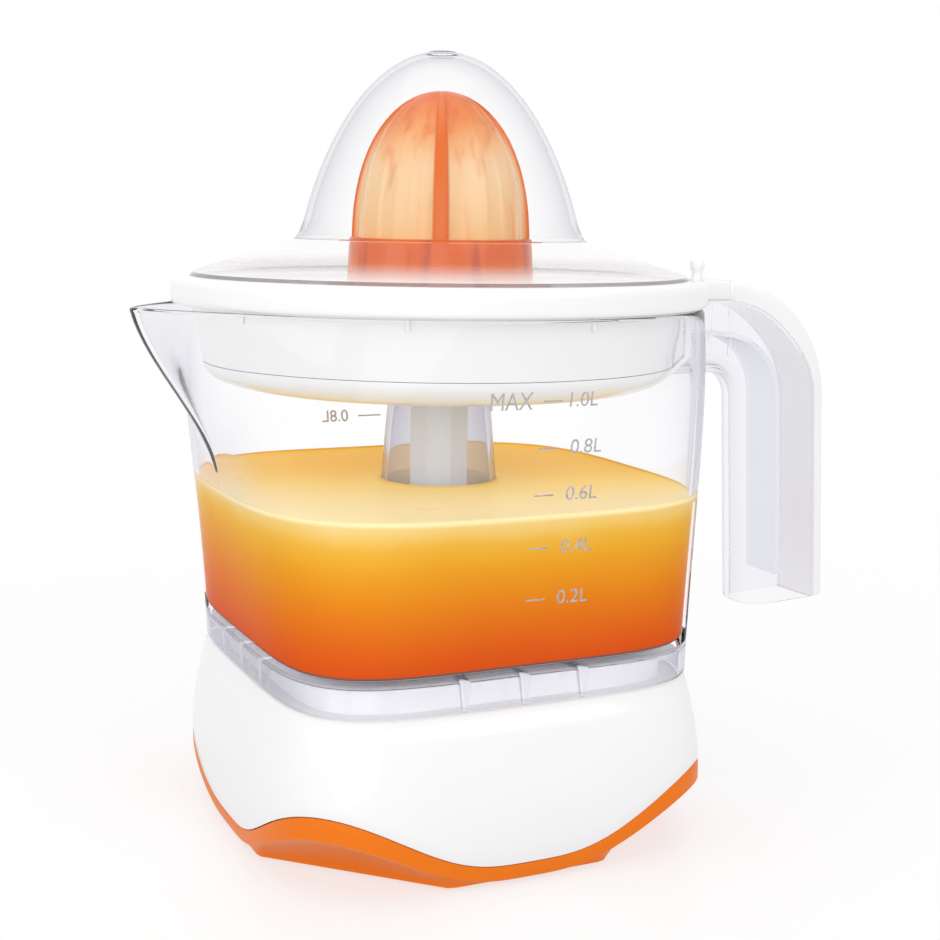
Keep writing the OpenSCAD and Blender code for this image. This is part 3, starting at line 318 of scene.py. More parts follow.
# %% [markdown]
# ## How the shells are made
# A moulded shell is one skin that runs up the outside, over the rim and down the inside.
# A circle is added, its corners are put in their places, and its edge is extruded again
# and again, each new ring going to the next level. When the last ring meets the first,
# the skin is closed and has its true wall. Sharp corners of an outline are rounded first,
# because light always finds the radius on a moulded edge.

# %% A skin from rings


def select_only(piece):
    """Makes one object the only one selected, and the active one."""
    bpy.ops.object.select_all(action="DESELECT")
    piece.select_set(True)
    bpy.context.view_layer.objects.active = piece


def skin(name, rings, closed=True, smooth=40):
    """Extrudes a circle through rings of points in millimetres. An open skin is capped."""
    bpy.ops.object.select_all(action="DESELECT")
    bpy.ops.mesh.primitive_circle_add(vertices=len(rings[0]), radius=0.05)
    piece = bpy.context.object
    piece.name = name
    bpy.ops.object.mode_set(mode="EDIT")
    mesh = bmesh.from_edit_mesh(piece.data)
    number = mesh.verts.layers.int.new("number")
    for i, corner in enumerate(mesh.verts):
        corner[number] = i
        corner.co = Vector(rings[0][i]) * MM
    bmesh.update_edit_mesh(piece.data)
    if not closed:
        bpy.ops.mesh.edge_face_add()
        bpy.ops.mesh.select_mode(type="EDGE")
    for ring in rings[1:] + (rings[:1] if closed else []):
        bpy.ops.mesh.extrude_edges_move()
        mesh = bmesh.from_edit_mesh(piece.data)
        number = mesh.verts.layers.int["number"]
        for corner in mesh.verts:
            if corner.select:
                corner.co = Vector(ring[corner[number]]) * MM
    if not closed:
        bpy.ops.mesh.edge_face_add()
    bpy.ops.mesh.select_mode(type="VERT")
    bpy.ops.mesh.select_all(action="SELECT")
    bpy.ops.mesh.remove_doubles(threshold=0.000005)
    bpy.ops.mesh.normals_make_consistent(inside=False)
    bpy.ops.object.mode_set(mode="OBJECT")
    piece.data.attributes.remove(piece.data.attributes["number"])
    if smooth:
        bpy.ops.object.shade_smooth_by_angle(angle=math.radians(smooth))
    return piece


def rounded(outline, steps=4):
    """Rounds the corners of a closed outline of (radius, level, rounding) points."""
    out = []
    for i, (r, z, rounding) in enumerate(outline):
        here = Vector((r, z))
        back = Vector(outline[i - 1][:2]) - here
        ahead = Vector(outline[(i + 1) % len(outline)][:2]) - here
        if rounding <= 0 or back.length < 1e-6 or ahead.length < 1e-6:
            out.append((r, z))
            continue
        cut = min(rounding, back.length * 0.49, ahead.length * 0.49)
        start, end = here + back.normalized() * cut, here + ahead.normalized() * cut
        for k in range(steps + 1):
            f = k / steps
            out.append(tuple(start * (1 - f) ** 2 + here * 2 * f * (1 - f) + end * f * f))
    return out


def circle(r, z, steps):
    """One level ring of a turned piece."""
    turns = [k * math.tau / steps for k in range(steps)]
    return [(r * math.cos(a), r * math.sin(a), z) for a in turns]


def turned(name, outline, steps=128, closed=True, smooth=40):
    """A piece that is the same all round the drive axis."""
    return skin(name, [circle(r, z, steps) for r, z in outline], closed, smooth)


def combine(piece, other, how):
    """Joins, cuts or intersects two solids, and throws the second away."""
    select_only(piece)
    change = piece.modifiers.new("change", "BOOLEAN")
    change.operation, change.solver, change.object = how, "EXACT", other
    bpy.ops.object.modifier_apply(modifier=change.name)
    bpy.data.objects.remove(other)
    return piece


def block(low, high):
    """A plain box between two corners in millimetres, to join or to cut with."""
    bpy.ops.object.select_all(action="DESELECT")
    middle = [(a + b) / 2 * MM for a, b in zip(low, high)]
    bpy.ops.mesh.primitive_cube_add(size=1, location=middle)
    made = bpy.context.object
    made.scale = [(b - a) * MM for a, b in zip(low, high)]
    bpy.ops.object.transform_apply(location=True, rotation=True, scale=True)
    return made


def peg(x, y, low, high, r, steps=32):
    """A plain upright cylinder, to join or to cut with."""
    bpy.ops.object.select_all(action="DESELECT")
    place = (x * MM, y * MM, (low + high) / 2 * MM)
    bpy.ops.mesh.primitive_cylinder_add(
        vertices=steps, radius=r * MM, depth=(high - low) * MM, location=place)
    bpy.ops.object.transform_apply(location=True, rotation=True, scale=True)
    return bpy.context.object


def joined(pieces):
    """Several loose solids as one object, so that one cut serves them all."""
    bpy.ops.object.select_all(action="DESELECT")
    for piece in pieces:
        piece.select_set(True)
    bpy.context.view_layer.objects.active = pieces[0]
    bpy.ops.object.join()
    return pieces[0]


def turn_copy(piece, angle):
    """A copy of a piece, with its own mesh, turned about the drive axis."""
    select_only(piece)
    bpy.ops.object.duplicate()
    made = bpy.context.object
    made.rotation_euler = (0, 0, math.radians(angle))
    bpy.ops.object.transform_apply(location=True, rotation=True, scale=True)
    return made


def smooth_again(piece, angle=35):
    """Shades a piece smooth, apart from its true edges, after a cut or a join."""
    select_only(piece)
    bpy.ops.object.shade_smooth_by_angle(angle=math.radians(angle))
    print(piece.name, len(piece.data.polygons), "faces")
    return piece


def placed(piece, body, nodes, material):
    """Gives a finished piece its body, the parts that it stands for, and its finish."""
    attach(piece, body)
    if nodes:
        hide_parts(*nodes)
    piece.data.materials.clear()
    piece.data.materials.append(material)
    return piece

# %% [markdown]
# ## Finishes
# Injection-moulded plastic is never quite flat: the mould's polish leaves a faint, broad
# waviness, and handling leaves hair-fine marks that change the gloss more than the colour.
# Both come from one node group, which every plastic uses with its own amounts.

# %% The moulded-skin group


def group_named(name, inputs, outputs):
    """A shader node group with its sockets, and its two ends."""
    made = bpy.data.node_groups.new(name, "ShaderNodeTree")
    for label, value in inputs:
        made.interface.new_socket(name=label, in_out="INPUT", socket_type="NodeSocketFloat").default_value = value
    for label, kind in outputs:
        made.interface.new_socket(name=label, in_out="OUTPUT", socket_type=kind)
    return made, node(made, "NodeGroupInput"), node(made, "NodeGroupOutput")


def noise(tree, place, scale, detail=3, rough=0.5):
    """A noise on the given coordinates."""
    made = node(tree, "ShaderNodeTexNoise")
    made.inputs["Scale"].default_value = scale
    made.inputs["Detail"].default_value = detail
    made.inputs["Roughness"].default_value = rough
    link(tree, place, made.inputs["Vector"])
    return made.outputs["Fac"]


MOULDED, ends_in, ends_out = group_named(
    "moulded_skin",
    [("Gloss", 0.2), ("Gloss change", 0.06), ("Shade change", 0.03)],
    [("Roughness", "NodeSocketFloat"), ("Shade", "NodeSocketFloat"), ("Height", "NodeSocketFloat")])
place = node(MOULDED, "ShaderNodeTexCoord").outputs["Object"]
broad = noise(MOULDED, place, 28, 2)
fine = noise(MOULDED, place, 900, 2)
stretch = node(MOULDED, "ShaderNodeMapping")
stretch.inputs["Scale"].default_value = (1, 1, 0.12)
link(MOULDED, place, stretch.inputs["Vector"])
marks = noise(MOULDED, stretch.outputs[0], 420, 4, 0.7)
change = maths(MOULDED, "SUBTRACT", maths(MOULDED, "ADD", maths(MOULDED, "MULTIPLY", broad, 0.6),
                                          maths(MOULDED, "MULTIPLY", marks, 0.4)), 0.5)
link(MOULDED, maths(MOULDED, "ADD", ends_in.outputs["Gloss"],
                    maths(MOULDED, "MULTIPLY", change, ends_in.outputs["Gloss change"])),
     ends_out.inputs["Roughness"])
link(MOULDED, maths(MOULDED, "SUBTRACT", 1.0,
                    maths(MOULDED, "MULTIPLY", broad, ends_in.outputs["Shade change"])),
     ends_out.inputs["Shade"])
link(MOULDED, maths(MOULDED, "ADD", maths(MOULDED, "MULTIPLY", broad, 0.85),
                    maths(MOULDED, "MULTIPLY", fine, 0.15)), ends_out.inputs["Height"])
print("group", MOULDED.name)

# %% Materials start here


def new_material(name, roughness=None, **plain):
    """A material with its Principled shader and constants on the shader's own sockets."""
    made = bpy.data.materials.new(name)
    made.use_nodes = True
    shader = made.node_tree.nodes["Principled BSDF"]
    if roughness is not None:
        shader.inputs["Roughness"].default_value = roughness
    for key, value in plain.items():
        shader.inputs[key.replace("_", " ")].default_value = value
    return made, made.node_tree, shader


def bump(tree, height, shader, strength, distance):
    """Feeds a height to the shader's normal, distance being the depth in metres."""
    made = node(tree, "ShaderNodeBump")
    made.inputs["Strength"].default_value = strength
    made.inputs["Distance"].default_value = distance
    link(tree, height, made.inputs["Height"])
    link(tree, made.outputs["Normal"], shader.inputs["Normal"])


def ramp(tree, value, stops, interpolation="EASE"):
    """A colour ramp with the given (place, colour) stops."""
    made = node(tree, "ShaderNodeValToRGB")
    made.color_ramp.interpolation = interpolation
    points = made.color_ramp.elements
    while len(points) < len(stops):
        points.new(0.5)
    for point, (where, colour) in zip(points, stops):
        point.position = where
        point.color = colour
    link(tree, value, made.inputs["Fac"])
    return made.outputs["Color"]


def mixed(tree, factor, first, second, blend="MIX"):
    """Two colours, or colour outputs, mixed by a number or an output."""
    made = node(tree, "ShaderNodeMix", data_type="RGBA", blend_type=blend)
    for socket, value in ((made.inputs["Factor"], factor), (made.inputs["A"], first), (made.inputs["B"], second)):
        if isinstance(value, (tuple, int)):
            socket.default_value = value
        else:
            link(tree, value, socket)
    return [o for o in made.outputs if o.type == "RGBA"][0]


def tinted(tree, colour, shade):
    """A colour darkened by a shade that changes over the surface."""
    return mixed(tree, 1, colour, shade, "MULTIPLY")


def spread(tree, value, start, end, low=0.0, high=1.0, smooth=False):
    """A value carried from start..end to low..high, and held there outside."""
    made = node(tree, "ShaderNodeMapRange", interpolation_type="SMOOTHSTEP" if smooth else "LINEAR")
    link(tree, value, made.inputs["Value"])
    for key, number in (("From Min", start), ("From Max", end), ("To Min", low), ("To Max", high)):
        made.inputs[key].default_value = number
    return made.outputs[0]


def plastic(name, colour, gloss=0.2, gloss_change=0.08, shade_change=0.04, depth=0.00004, **plain):
    """A moulded plastic of one colour."""
    made, tree, shader = new_material(name, **plain)
    skin_group = node(tree, "ShaderNodeGroup", node_tree=MOULDED)
    skin_group.inputs["Gloss"].default_value = gloss
    skin_group.inputs["Gloss change"].default_value = gloss_change
    skin_group.inputs["Shade change"].default_value = shade_change
    link(tree, skin_group.outputs["Roughness"], shader.inputs["Roughness"])
    link(tree, tinted(tree, colour, skin_group.outputs["Shade"]), shader.inputs["Base Color"])
    bump(tree, skin_group.outputs["Height"], shader, 0.25, depth)
    return made


white_gloss = plastic("white_gloss", srgb(246, 246, 247), gloss=0.17)
orange_gloss = plastic("orange_gloss", srgb(240, 122, 26), gloss=0.36, Specular_IOR_Level=0.12)
pale_plastic = plastic("pale_plastic", srgb(240, 241, 243), gloss=0.28)
shaft_plastic = plastic("shaft_plastic", srgb(228, 240, 254), gloss=0.3)
nylon = plastic("nylon", srgb(232, 228, 214), gloss=0.38, shade_change=0.08)
black_plastic = plastic("black_plastic", srgb(34, 34, 36), gloss=0.4)
red_plastic = plastic("red_plastic", srgb(190, 40, 34), gloss=0.3)
rubber = plastic("rubber", srgb(58, 58, 60), gloss=0.72, gloss_change=0.15, depth=0.00008)
white_rubber = plastic("white_rubber", srgb(225, 225, 224), gloss=0.6, depth=0.00008)
print("opaque plastics ready")

# %% [markdown]
# ## The base housing
# The housing is one white moulding: a barrel-shaped wall with a waved lower edge, a flat
# deck, and a turret in the middle through which the drive comes up. The wave is made by
# giving every ring its own level at every angle, so the wall stays one smooth skin.

# %% Rings of the base
SIDES = 192
base_angles = [k * 360 / SIDES - 180 for k in range(SIDES)]


def ring_of(angles, radius, level):
    """A ring whose radius and level are rules of the angle, or plain numbers."""
    out = []
    for t in angles:
        r = radius(t) if callable(radius) else radius
        z = level(t) if callable(level) else level
        out.append((r * math.cos(math.radians(t)), r * math.sin(math.radians(t)), z))
    return out


def base_r(t, z, inset=0.0):
    """Radius of the base's outer face at angle t and level z."""
    return rounded_square(t, base_half(z) - inset, base_power)


def base_ring(level, inset=0.0):
    """A ring on the base's outer face, set in by inset."""
    return ring_of(base_angles, lambda t: base_r(t, level(t), inset), level)


wall = 2.4
deck_round = 1.8
turret_r, turret_in_r = 14.5, 12.1
deck_under = deck_z - wall
rings = []
for k in range(9):
    f = k / 8
    rings.append(base_ring(lambda t, f=f: mix(white_edge(t) + 0.7, deck_z - deck_round, f)))
rings.insert(0, base_ring(lambda t: white_edge(t) + 0.35, 0.12))
for k in range(1, 6):
    a = math.radians(18 * k)
    rings.append(ring_of(base_angles,
                         lambda t, a=a: base_r(t, deck_z, deck_round * (1 - math.cos(a))),
                         deck_z - deck_round * (1 - math.sin(a))))
step_z = jug_z + 7.4
for inset, z in ((6.8, deck_z), (7.6, deck_z + 0.2), (8.0, deck_z + 0.9), (8.3, step_z - 0.9),
                 (8.6, step_z - 0.2), (9.3, step_z)):
    rings.append(ring_of(base_angles, lambda t, inset=inset: jug_r(t, jug_z + 0.1) - inset, z))
neck = rounded([(turret_r + 8, step_z, 0), (turret_r, step_z, 4), (turret_r, turret_top, 1.5),
                (turret_in_r, turret_top, 0.7), (turret_in_r, deck_under, 1.2)], 6)
for r, z in neck[:-1]:
    rings.append(ring_of(base_angles, r, z))
for k in range(6):
    f = 1 - k / 5
    rings.append(base_ring(lambda t, f=f: mix(white_edge(t) + 0.7, deck_under - 2, f), wall))
rings.append(base_ring(lambda t: white_edge(t) + 0.35, wall - 0.12))
housing = skin("housing", rings, smooth=50)
print("housing", len(housing.data.vertices), "corners")

# %% Pillars for the tray screws, and the hole for the mains lead
screw_places = [(54 * math.cos(math.radians(a)), 54 * math.sin(math.radians(a)))
                for a in (62, 118, 242, 298)]
for x, y in screw_places:
    combine(housing, peg(x, y, tray_z + 9.5, deck_under + 0.5, 4.2), "UNION")
combine(housing, joined([peg(x, y, tray_z + 2.5, tray_z + 24.5, 1.3) for x, y in screw_places]),
        "DIFFERENCE")
inlet_z = 22
inlet = peg(0, 0, -15, 5, 6)
inlet.rotation_euler = (math.radians(90), 0, 0)
inlet.location = (0, base_half(inlet_z) * MM, inlet_z * MM)
bpy.ops.object.transform_apply(location=True, rotation=True, scale=True)
combine(housing, inlet, "DIFFERENCE")
placed(smooth_again(housing), "base", ["base_housing"], white_gloss)

# %% [markdown]
# ## The bottom tray
# The coloured tray shows as a band under the wave. Under each side of the base the band
# dips to the table, and between two dips the tray is scooped away towards a straight toe
# line, so the base seems to stand on four soft waves. The scoop is a run of rings that
# bow inwards on their way down.

# %% The tray
toe_r = 62.5


def toe(t):
    """Radius of the tray's flat underside: a square with its corners cut off."""
    side = rounded_square(t, base_half(tray_z) - 1.6, base_power)
    return min(side, toe_r / max(0.01, math.cos(math.radians(abs(abs(t) % 90 - 45)))))


def band_low(t):
    return rounded_square(t, base_half(band_edge(t)) - 0.1, base_power)


def lip(t):
    return rounded_square(t, base_half(white_edge(t)) - 0.1, base_power)


def scoop(t, f):
    """Radius a share f of the way up from the toe line to the band."""
    low, high = toe(t), band_low(t) - 0.5
    return mix(low, high, f) - (high - low) * 0.55 * 4 * f * (1 - f) * 0.5


rings = [ring_of(base_angles, lambda t: toe(t) - 1.2, tray_z),
         ring_of(base_angles, lambda t: toe(t) - 0.3, tray_z + 0.02)]
for k in range(7):
    f = k / 6
    rings.append(ring_of(base_angles, lambda t, f=f: scoop(t, f),
                         lambda t, f=f: mix(tray_z + 0.1, band_edge(t) + 0.15, f ** 1.25)))
rings.append(ring_of(base_angles, band_low, lambda t: band_edge(t) + 0.55))
for f in (0.3, 0.6, 0.85):
    rings.append(ring_of(
        base_angles,
        lambda t, f=f: rounded_square(t, base_half(mix(band_edge(t), white_edge(t), f)) - 0.1, base_power),
        lambda t, f=f: mix(band_edge(t) + 0.5, white_edge(t) - 0.2, f)))
rings.append(ring_of(base_angles, lambda t: lip(t) - 0.25, white_edge))
rings.append(ring_of(base_angles, lambda t: lip(t) - wall, white_edge))
rings.append(ring_of(base_angles, lambda t: lip(t) - wall - 2.5, lambda t: white_edge(t) - 1))
rings.append(ring_of(base_angles, lambda t: toe(t) - 5, tray_z + 2.5))
tray = skin("tray", rings, closed=False, smooth=45)
for x, y in screw_places:
    combine(tray, peg(x, y, tray_z + 2, tray_z + 9.5, 4.2), "UNION")
for x, y in ((28, 12), (10, -30), (-45, 34)):
    combine(tray, peg(x, y, tray_z + 2, foot_of("gear_plate"), 4.2), "UNION")
cuts = [peg(x, y, tray_z - 1, tray_z + 3.4, 3.3) for x, y in screw_places]
cuts += [block((35, k * 6 - 1.5, tray_z - 1), (51, k * 6 + 1.5, tray_z + 4)) for k in range(-2, 3)]
cuts += [peg(53 * math.cos(math.radians(a)), 53 * math.sin(math.radians(a)), tray_z - 1,
             tray_z + 1.4, 4.5) for a in (45, 135, 225, 315)]
combine(tray, joined(cuts), "DIFFERENCE")
placed(smooth_again(tray, 40), "base", ["bottom_tray"], orange_gloss)

# %% [markdown]
# ## Clear plastic
# A clear moulding shows mostly at its edges: seen flat on, it is nearly not there, and
# seen along its skin it turns to a cool grey. So the shader is plain transmission, and
# Layer Weight darkens its colour towards the outline: that grey is painted shade, for the
# darker things an edge reflects and refracts. Light Path lets shadow rays and bounced
# light straight through, because a clear wall hardly throws a shadow, and what stands
# behind several walls would otherwise go dark.

# %% Clear materials


def clear(name, stops, gloss=0.03, ior=1.2, depth=0.000008):
    """A see-through plastic whose colour deepens towards its outline, a painted shade."""
    made, tree, shader = new_material(name, IOR=ior)
    shader.inputs["Transmission Weight"].default_value = 1
    facing = node(tree, "ShaderNodeLayerWeight")
    facing.inputs["Blend"].default_value = 0.5
    link(tree, ramp(tree, facing.outputs["Facing"], stops, "LINEAR"), shader.inputs["Base Color"])
    skin_group = node(tree, "ShaderNodeGroup", node_tree=MOULDED)
    skin_group.inputs["Gloss"].default_value = gloss
    skin_group.inputs["Gloss change"].default_value = gloss * 0.8
    link(tree, skin_group.outputs["Roughness"], shader.inputs["Roughness"])
    bump(tree, skin_group.outputs["Height"], shader, 0.2, depth)
    let_light_in(tree, shader, (0.985, 0.985, 0.99, 1))
    return made


def let_light_in(tree, shader, colour):
    """Shadow rays, and light that a dull surface sent back, pass straight through."""
    path = node(tree, "ShaderNodeLightPath")
    through = node(tree, "ShaderNodeBsdfTransparent")
    through.inputs["Color"].default_value = colour
    choice = node(tree, "ShaderNodeMixShader")
    link(tree, maths(tree, "MAXIMUM", path.outputs["Is Shadow Ray"], path.outputs["Is Diffuse Ray"]), choice.inputs[0])
    link(tree, shader.outputs[0], choice.inputs[1])
    link(tree, through.outputs[0], choice.inputs[2])
    link(tree, choice.outputs[0], tree.nodes["Material Output"].inputs["Surface"])


WHITE = (1, 1, 1, 1)
# The darker stops at the end of each list are painted shade towards the outline.
jug_clear = clear("jug_clear", [(0.3, WHITE), (0.6, srgb(242, 242, 247)), (0.85, srgb(214, 213, 223)),
                                (1.0, srgb(176, 174, 188))], ior=1.2)
jug_wet = clear("jug_wet", [(0.0, WHITE), (0.9, srgb(252, 252, 254)), (1.0, srgb(226, 224, 232))], ior=1.03)
jug_skirt = clear("jug_skirt", [(0.2, srgb(248, 248, 252)), (0.55, srgb(224, 225, 232)),
                                (0.8, srgb(190, 191, 202)), (1.0, srgb(156, 156, 170))], ior=1.14)
jug_chimney = clear("jug_chimney", [(0.15, srgb(240, 242, 252)), (0.6, srgb(228, 229, 244)),
                                    (0.85, srgb(206, 204, 216)), (1.0, srgb(140, 138, 152))], ior=1.12)
jug_chimney.node_tree.nodes["Principled BSDF"].inputs["Transmission Weight"].default_value = 0.82
jug_handle = clear("jug_handle", [(0.1, srgb(250, 250, 252)), (0.5, srgb(243, 243, 246)),
                                  (0.8, srgb(212, 212, 220)), (1.0, srgb(126, 126, 138))], ior=1.08)
jug_web = clear("jug_web", [(0.1, srgb(250, 250, 252)), (0.7, srgb(230, 230, 236)), (1.0, srgb(180, 180, 190))], ior=1.03)
print("clear plastics ready")

# %% [markdown]
# ## The jug
# The jug is a rounded square at its foot and a full circle at its rim, with the pouring
# lip drawn out of the wall on the left. Its floor stands above the skirt, and a hollow
# chimney rises from the floor so that the drive can reach the bowl with no seal. All of
# that is one skin: up the wall, over the rim, down inside, across the floor, up and down
# the chimney, and back out to the skirt.

# %% The jug's body
jug_angles = sorted({round(k * 2.0 - 180, 3) for k in range(180)}
                    | {round(180 - d, 3) for d in (0.5, 1, 1.5, 2.5, 3, 3.5, 4.5, 5, 5.5)}
                    | {round(-180 + d, 3) for d in (0.5, 1, 1.5, 2.5, 3, 3.5, 4.5, 5, 5.5)})


def jug_ring(z, inset=0.0):
    return ring_of(jug_angles, lambda t: jug_r(t, z) - inset, z)


def arc(r, z, size, start, end, steps):
    """Points on a quarter or half circle, for the radius of an edge."""
    turns = [math.radians(start + (end - start) * k / steps) for k in range(steps + 1)]
    return [(r + size * math.cos(a), z + size * math.sin(a)) for a in turns]


half_wall, juice_z = jug_wall / 2, 102.3
rings = [jug_ring(jug_z + half_wall * (1 - math.sin(a)), half_wall * (1 - math.cos(a)))
         for a in (math.radians(90), math.radians(60), math.radians(30))]
levels = [jug_z + half_wall + 0.1, jug_z + 5, floor_z, floor_z + 4]
levels += [mix(floor_z + 4, jug_z + 58, k / 7) for k in range(1, 8)]
levels += [mix(jug_z + 58, rim_z - half_wall, (k / 16)) for k in range(1, 17)]
rings += [jug_ring(z) for z in levels]
for k in range(1, 7):
    a = math.radians(30 * k)
    rings.append(ring_of(jug_angles,
                         lambda t, a=a: jug_r(t, rim_z) - half_wall * (1 - math.cos(a)),
                         rim_z - half_wall + half_wall * math.sin(a)))
floor_round = 1.8
rings += [jug_ring(z, jug_wall) for z in reversed(levels) if z > floor_z + floor_round + 0.2]
for k in range(0, 7):
    a = math.radians(15 * k)
    rings.append(jug_ring(floor_z + floor_round * (1 - math.sin(a)),
                          jug_wall + floor_round * (1 - math.cos(a))))
chimney_wall = 1.8
for k in range(0, 5):
    a = math.radians(22.5 * k)
    z = floor_z + 2.5 * (1 - math.cos(a))
    rings.append(ring_of(jug_angles, chimney_r(floor_z + 2.5) + 2.5 * (1 - math.sin(a)), z))
for f in (0.25, 0.5, 0.75):
    z = mix(floor_z + 2.5, chimney_top, f)
    rings.append(ring_of(jug_angles, chimney_r(z), z))
for r, z in arc(chimney_r(chimney_top) - 0.9, chimney_top - 0.9, 0.9, 0, 180, 6):
    rings.append(ring_of(jug_angles, r, z))
under = floor_z - jug_wall
for z in (110, 85, under + 1.5):
    rings.append(ring_of(jug_angles, chimney_r(z) - chimney_wall, z))
for k in range(1, 4):
    a = math.radians(30 * k)
    rings.append(ring_of(jug_angles, chimney_r(under) - chimney_wall + 1.5 * (1 - math.cos(a)),
                         under + 1.5 - 1.5 * math.sin(a)))
for k in range(0, 4):
    a = math.radians(30 * k)
    rings.append(jug_ring(under - 1.5 + 1.5 * math.cos(a), jug_wall + 1.5 - 1.5 * math.sin(a)))
rings.append(jug_ring(jug_z + half_wall, jug_wall))
for a in (math.radians(30), math.radians(60)):
    rings.append(jug_ring(jug_z + half_wall * (1 - math.sin(a)), jug_wall - half_wall * (1 - math.cos(a))))
jug = skin("jug_body", rings, smooth=60)
print("jug body", len(jug.data.polygons), "faces")

# %% [markdown]
# ## The handle's shell
# The handle is part of the clear moulding: a trough that is round towards the fingers and
# open towards the outside, where the white cover closes it. Its rings stand across the
# handle's path, so they turn with the bend, and they run along the outside of the trough
# and back along its inside.

# %% The handle's path
bend_x, bend_z = 95.0, rim_z + 6.6 - 39.2
grip_r, back_r, lean = 9.5, 39.2, 2.9
grip_len = (bend_z - (jug_z + 4.5)) / math.cos(math.radians(lean))
handle_half = 10.5


def cover_in(a):
    """Distance from the bend's centre to the underside of the cover, at a turn of a degrees."""
    return back_r - mix(6.6, 3.7, ease((a - 40) / 50))


def station(a, down=0.0):
    """A place on the path: its origin and the direction that points out of the bend."""
    s, c = math.sin(math.radians(a)), math.cos(math.radians(a))
    way = (math.sin(math.radians(lean)), -math.cos(math.radians(lean)))
    return (bend_x + way[0] * down, bend_z + way[1] * down), (s, c)


def put(where, rho, y):
    """A point of a section, rho out from the path and y across it."""
    (x, z), (dx, dz) = where
    return (x + dx * rho, y, z + dz * rho)


def trough(rho_open, half, nose, wall):
    """Section of the trough: round nose, straight sides, and back along the inside."""
    r = half - 2.5
    turns = [k * 7.5 for k in range(13)]

    def side(r, half, nose, sign):
        return [(nose + r - r * math.sin(math.radians(b)), sign * (half - r + r * math.cos(math.radians(b))))
                for b in turns]

    outer = [(rho_open, -half)] + side(r, half, nose, -1) + side(r, half, nose, 1)[::-1] + [(rho_open, half)]
    ri, hi = r - wall * 0.6, half - wall
    inner = ([(rho_open, hi)] + side(ri, hi, nose + wall, 1)
             + side(ri, hi, nose + wall, -1)[::-1] + [(rho_open, -hi)])
    return outer + inner


def root_x(z):
    """Where the handle starts, inside the jug's sloping wall."""
    return jug_r(0, min(z, rim_z)) - jug_wall * 0.6


top_open = rim_z - bend_z
rings = []
for f in (0.0, 0.25, 0.5, 0.75):
    rings.append([(mix(root_x(bend_z + rho), bend_x, f), y, bend_z + rho)
                  for rho, y in trough(top_open, handle_half, grip_r, 2)])
turns = [k * (90 - lean) / 28 for k in range(29)]
for a in turns:
    rings.append([put(station(a), rho, y)
                  for rho, y in trough(cover_in(a) - seat_gap, handle_half, grip_r, 2)])
for f in (0.2, 0.4, 0.6, 0.8, 0.985):
    rings.append([put(station(90 - lean, grip_len * f), rho, y)
                  for rho, y in trough(cover_in(90) - seat_gap, handle_half, grip_r, 2)])
for size, f in ((0.35, 1.0),):
    rings.append([put(station(90 - lean, grip_len * f), rho, y)
                  for rho, y in trough(cover_in(90) - seat_gap, handle_half - size, grip_r + size, 2 - 2 * size)])
shell = skin("handle_shell", rings, closed=False, smooth=50)

# %% The web that stiffens the handle
web = []
for a in turns[1:]:
    web.append([put(station(a), rho, y) for rho, y in
                ((23.0, -8.35), (21.4, -8.35), (21.4, 8.35), (23.0, 8.35))])
for f in (0.25, 0.5, 0.75, 1.0):
    web.append([put(station(90 - lean, (grip_len - 9) * f), rho, y) for rho, y in
                ((23.0, -8.35), (21.4, -8.35), (21.4, 8.35), (23.0, 8.35))])
web = skin("web", web, closed=False, smooth=50)

# %% [markdown]
# Wedge-shaped gussets stiffen the skirt. One is made and copied to the other eleven
# places, and then everything is united with the body, so that no hidden wall is left
# inside the clear plastic.

# %% Gussets, and one solid


def wedge(y):
    """A gusset against the skirt's inside: wide at its top, narrow at its foot."""
    wall_x = 62.9 - jug_wall + 0.7
    bottom, top = jug_z + 0.4, under + 0.6
    rings = []
    for z, wide, deep in ((bottom, 0.9, 2.2), (top - 1.2, 1.7, 4.6), (top, 2.2, 5.2)):
        rings.append([(wall_x, y - wide, z), (wall_x - deep, y - 0.5, z),
                      (wall_x - deep, y + 0.5, z), (wall_x, y + wide, z)])
    return skin("gusset", rings, closed=False, smooth=0)


first = joined([wedge(-18), wedge(0), wedge(18)])
gussets = [first] + [turn_copy(first, a) for a in (90, 180, 270)]
flutes = [block((x - 0.55, -handle_half - 0.6, 138), (x + 0.55, -handle_half + 0.8, foot)) for x, foot in
          ((83.5, 155.0), (88.5, 155.6), (96.0, 153.0))]
for part in gussets + [shell] + flutes:
    combine(jug, part, "UNION")
web_from = len(jug.data.polygons)
jug = joined([jug, web])
placed(smooth_again(jug, 42), "jug", ["jug"], jug_clear)

# %% The jug's finishes: dry wall, wet wall, skirt, chimney, handle and web
for finish in (jug_wet, jug_skirt, jug_chimney, jug_handle, jug_web):
    jug.data.materials.append(finish)


def jug_finish(face):
    """Which of the jug's finishes a face takes, by its place."""
    x, y, z = face.center / MM
    out, turn = math.hypot(x, y), math.degrees(math.atan2(y, x))
    if face.index >= web_from:
        return 5
    if out > jug_r(turn, z) + 0.3 and x > 60:
        return 4
    if out < chimney_r(z) + 0.3 and z > floor_z + 2:
        return 3
    if z < floor_z - jug_wall * 0.6:
        return 2
    return 1 if z < juice_z - 1 else 0


for face in jug.data.polygons:
    face.material_index = jug_finish(face)
print("jug:", len(jug.data.polygons), "faces in six finishes")

# %% [markdown]
# ## The handle's cover
# A white strip runs from the tab of the sieve bowl over the back of the handle to its
# foot. Its back edges are well rounded, which is where it catches the light. Its inside is
# painted a little brighter than its shade, with a faint glow: painted light.

# %% The cover


def strip(a):
    """Section of the cover at a turn of a degrees."""
    low, high = cover_in(a), back_r
    return rounded([(high, handle_half, 2.2), (low, handle_half, 0.5),
                    (low, -handle_half, 0.5), (high, -handle_half, 2.2)], 5)


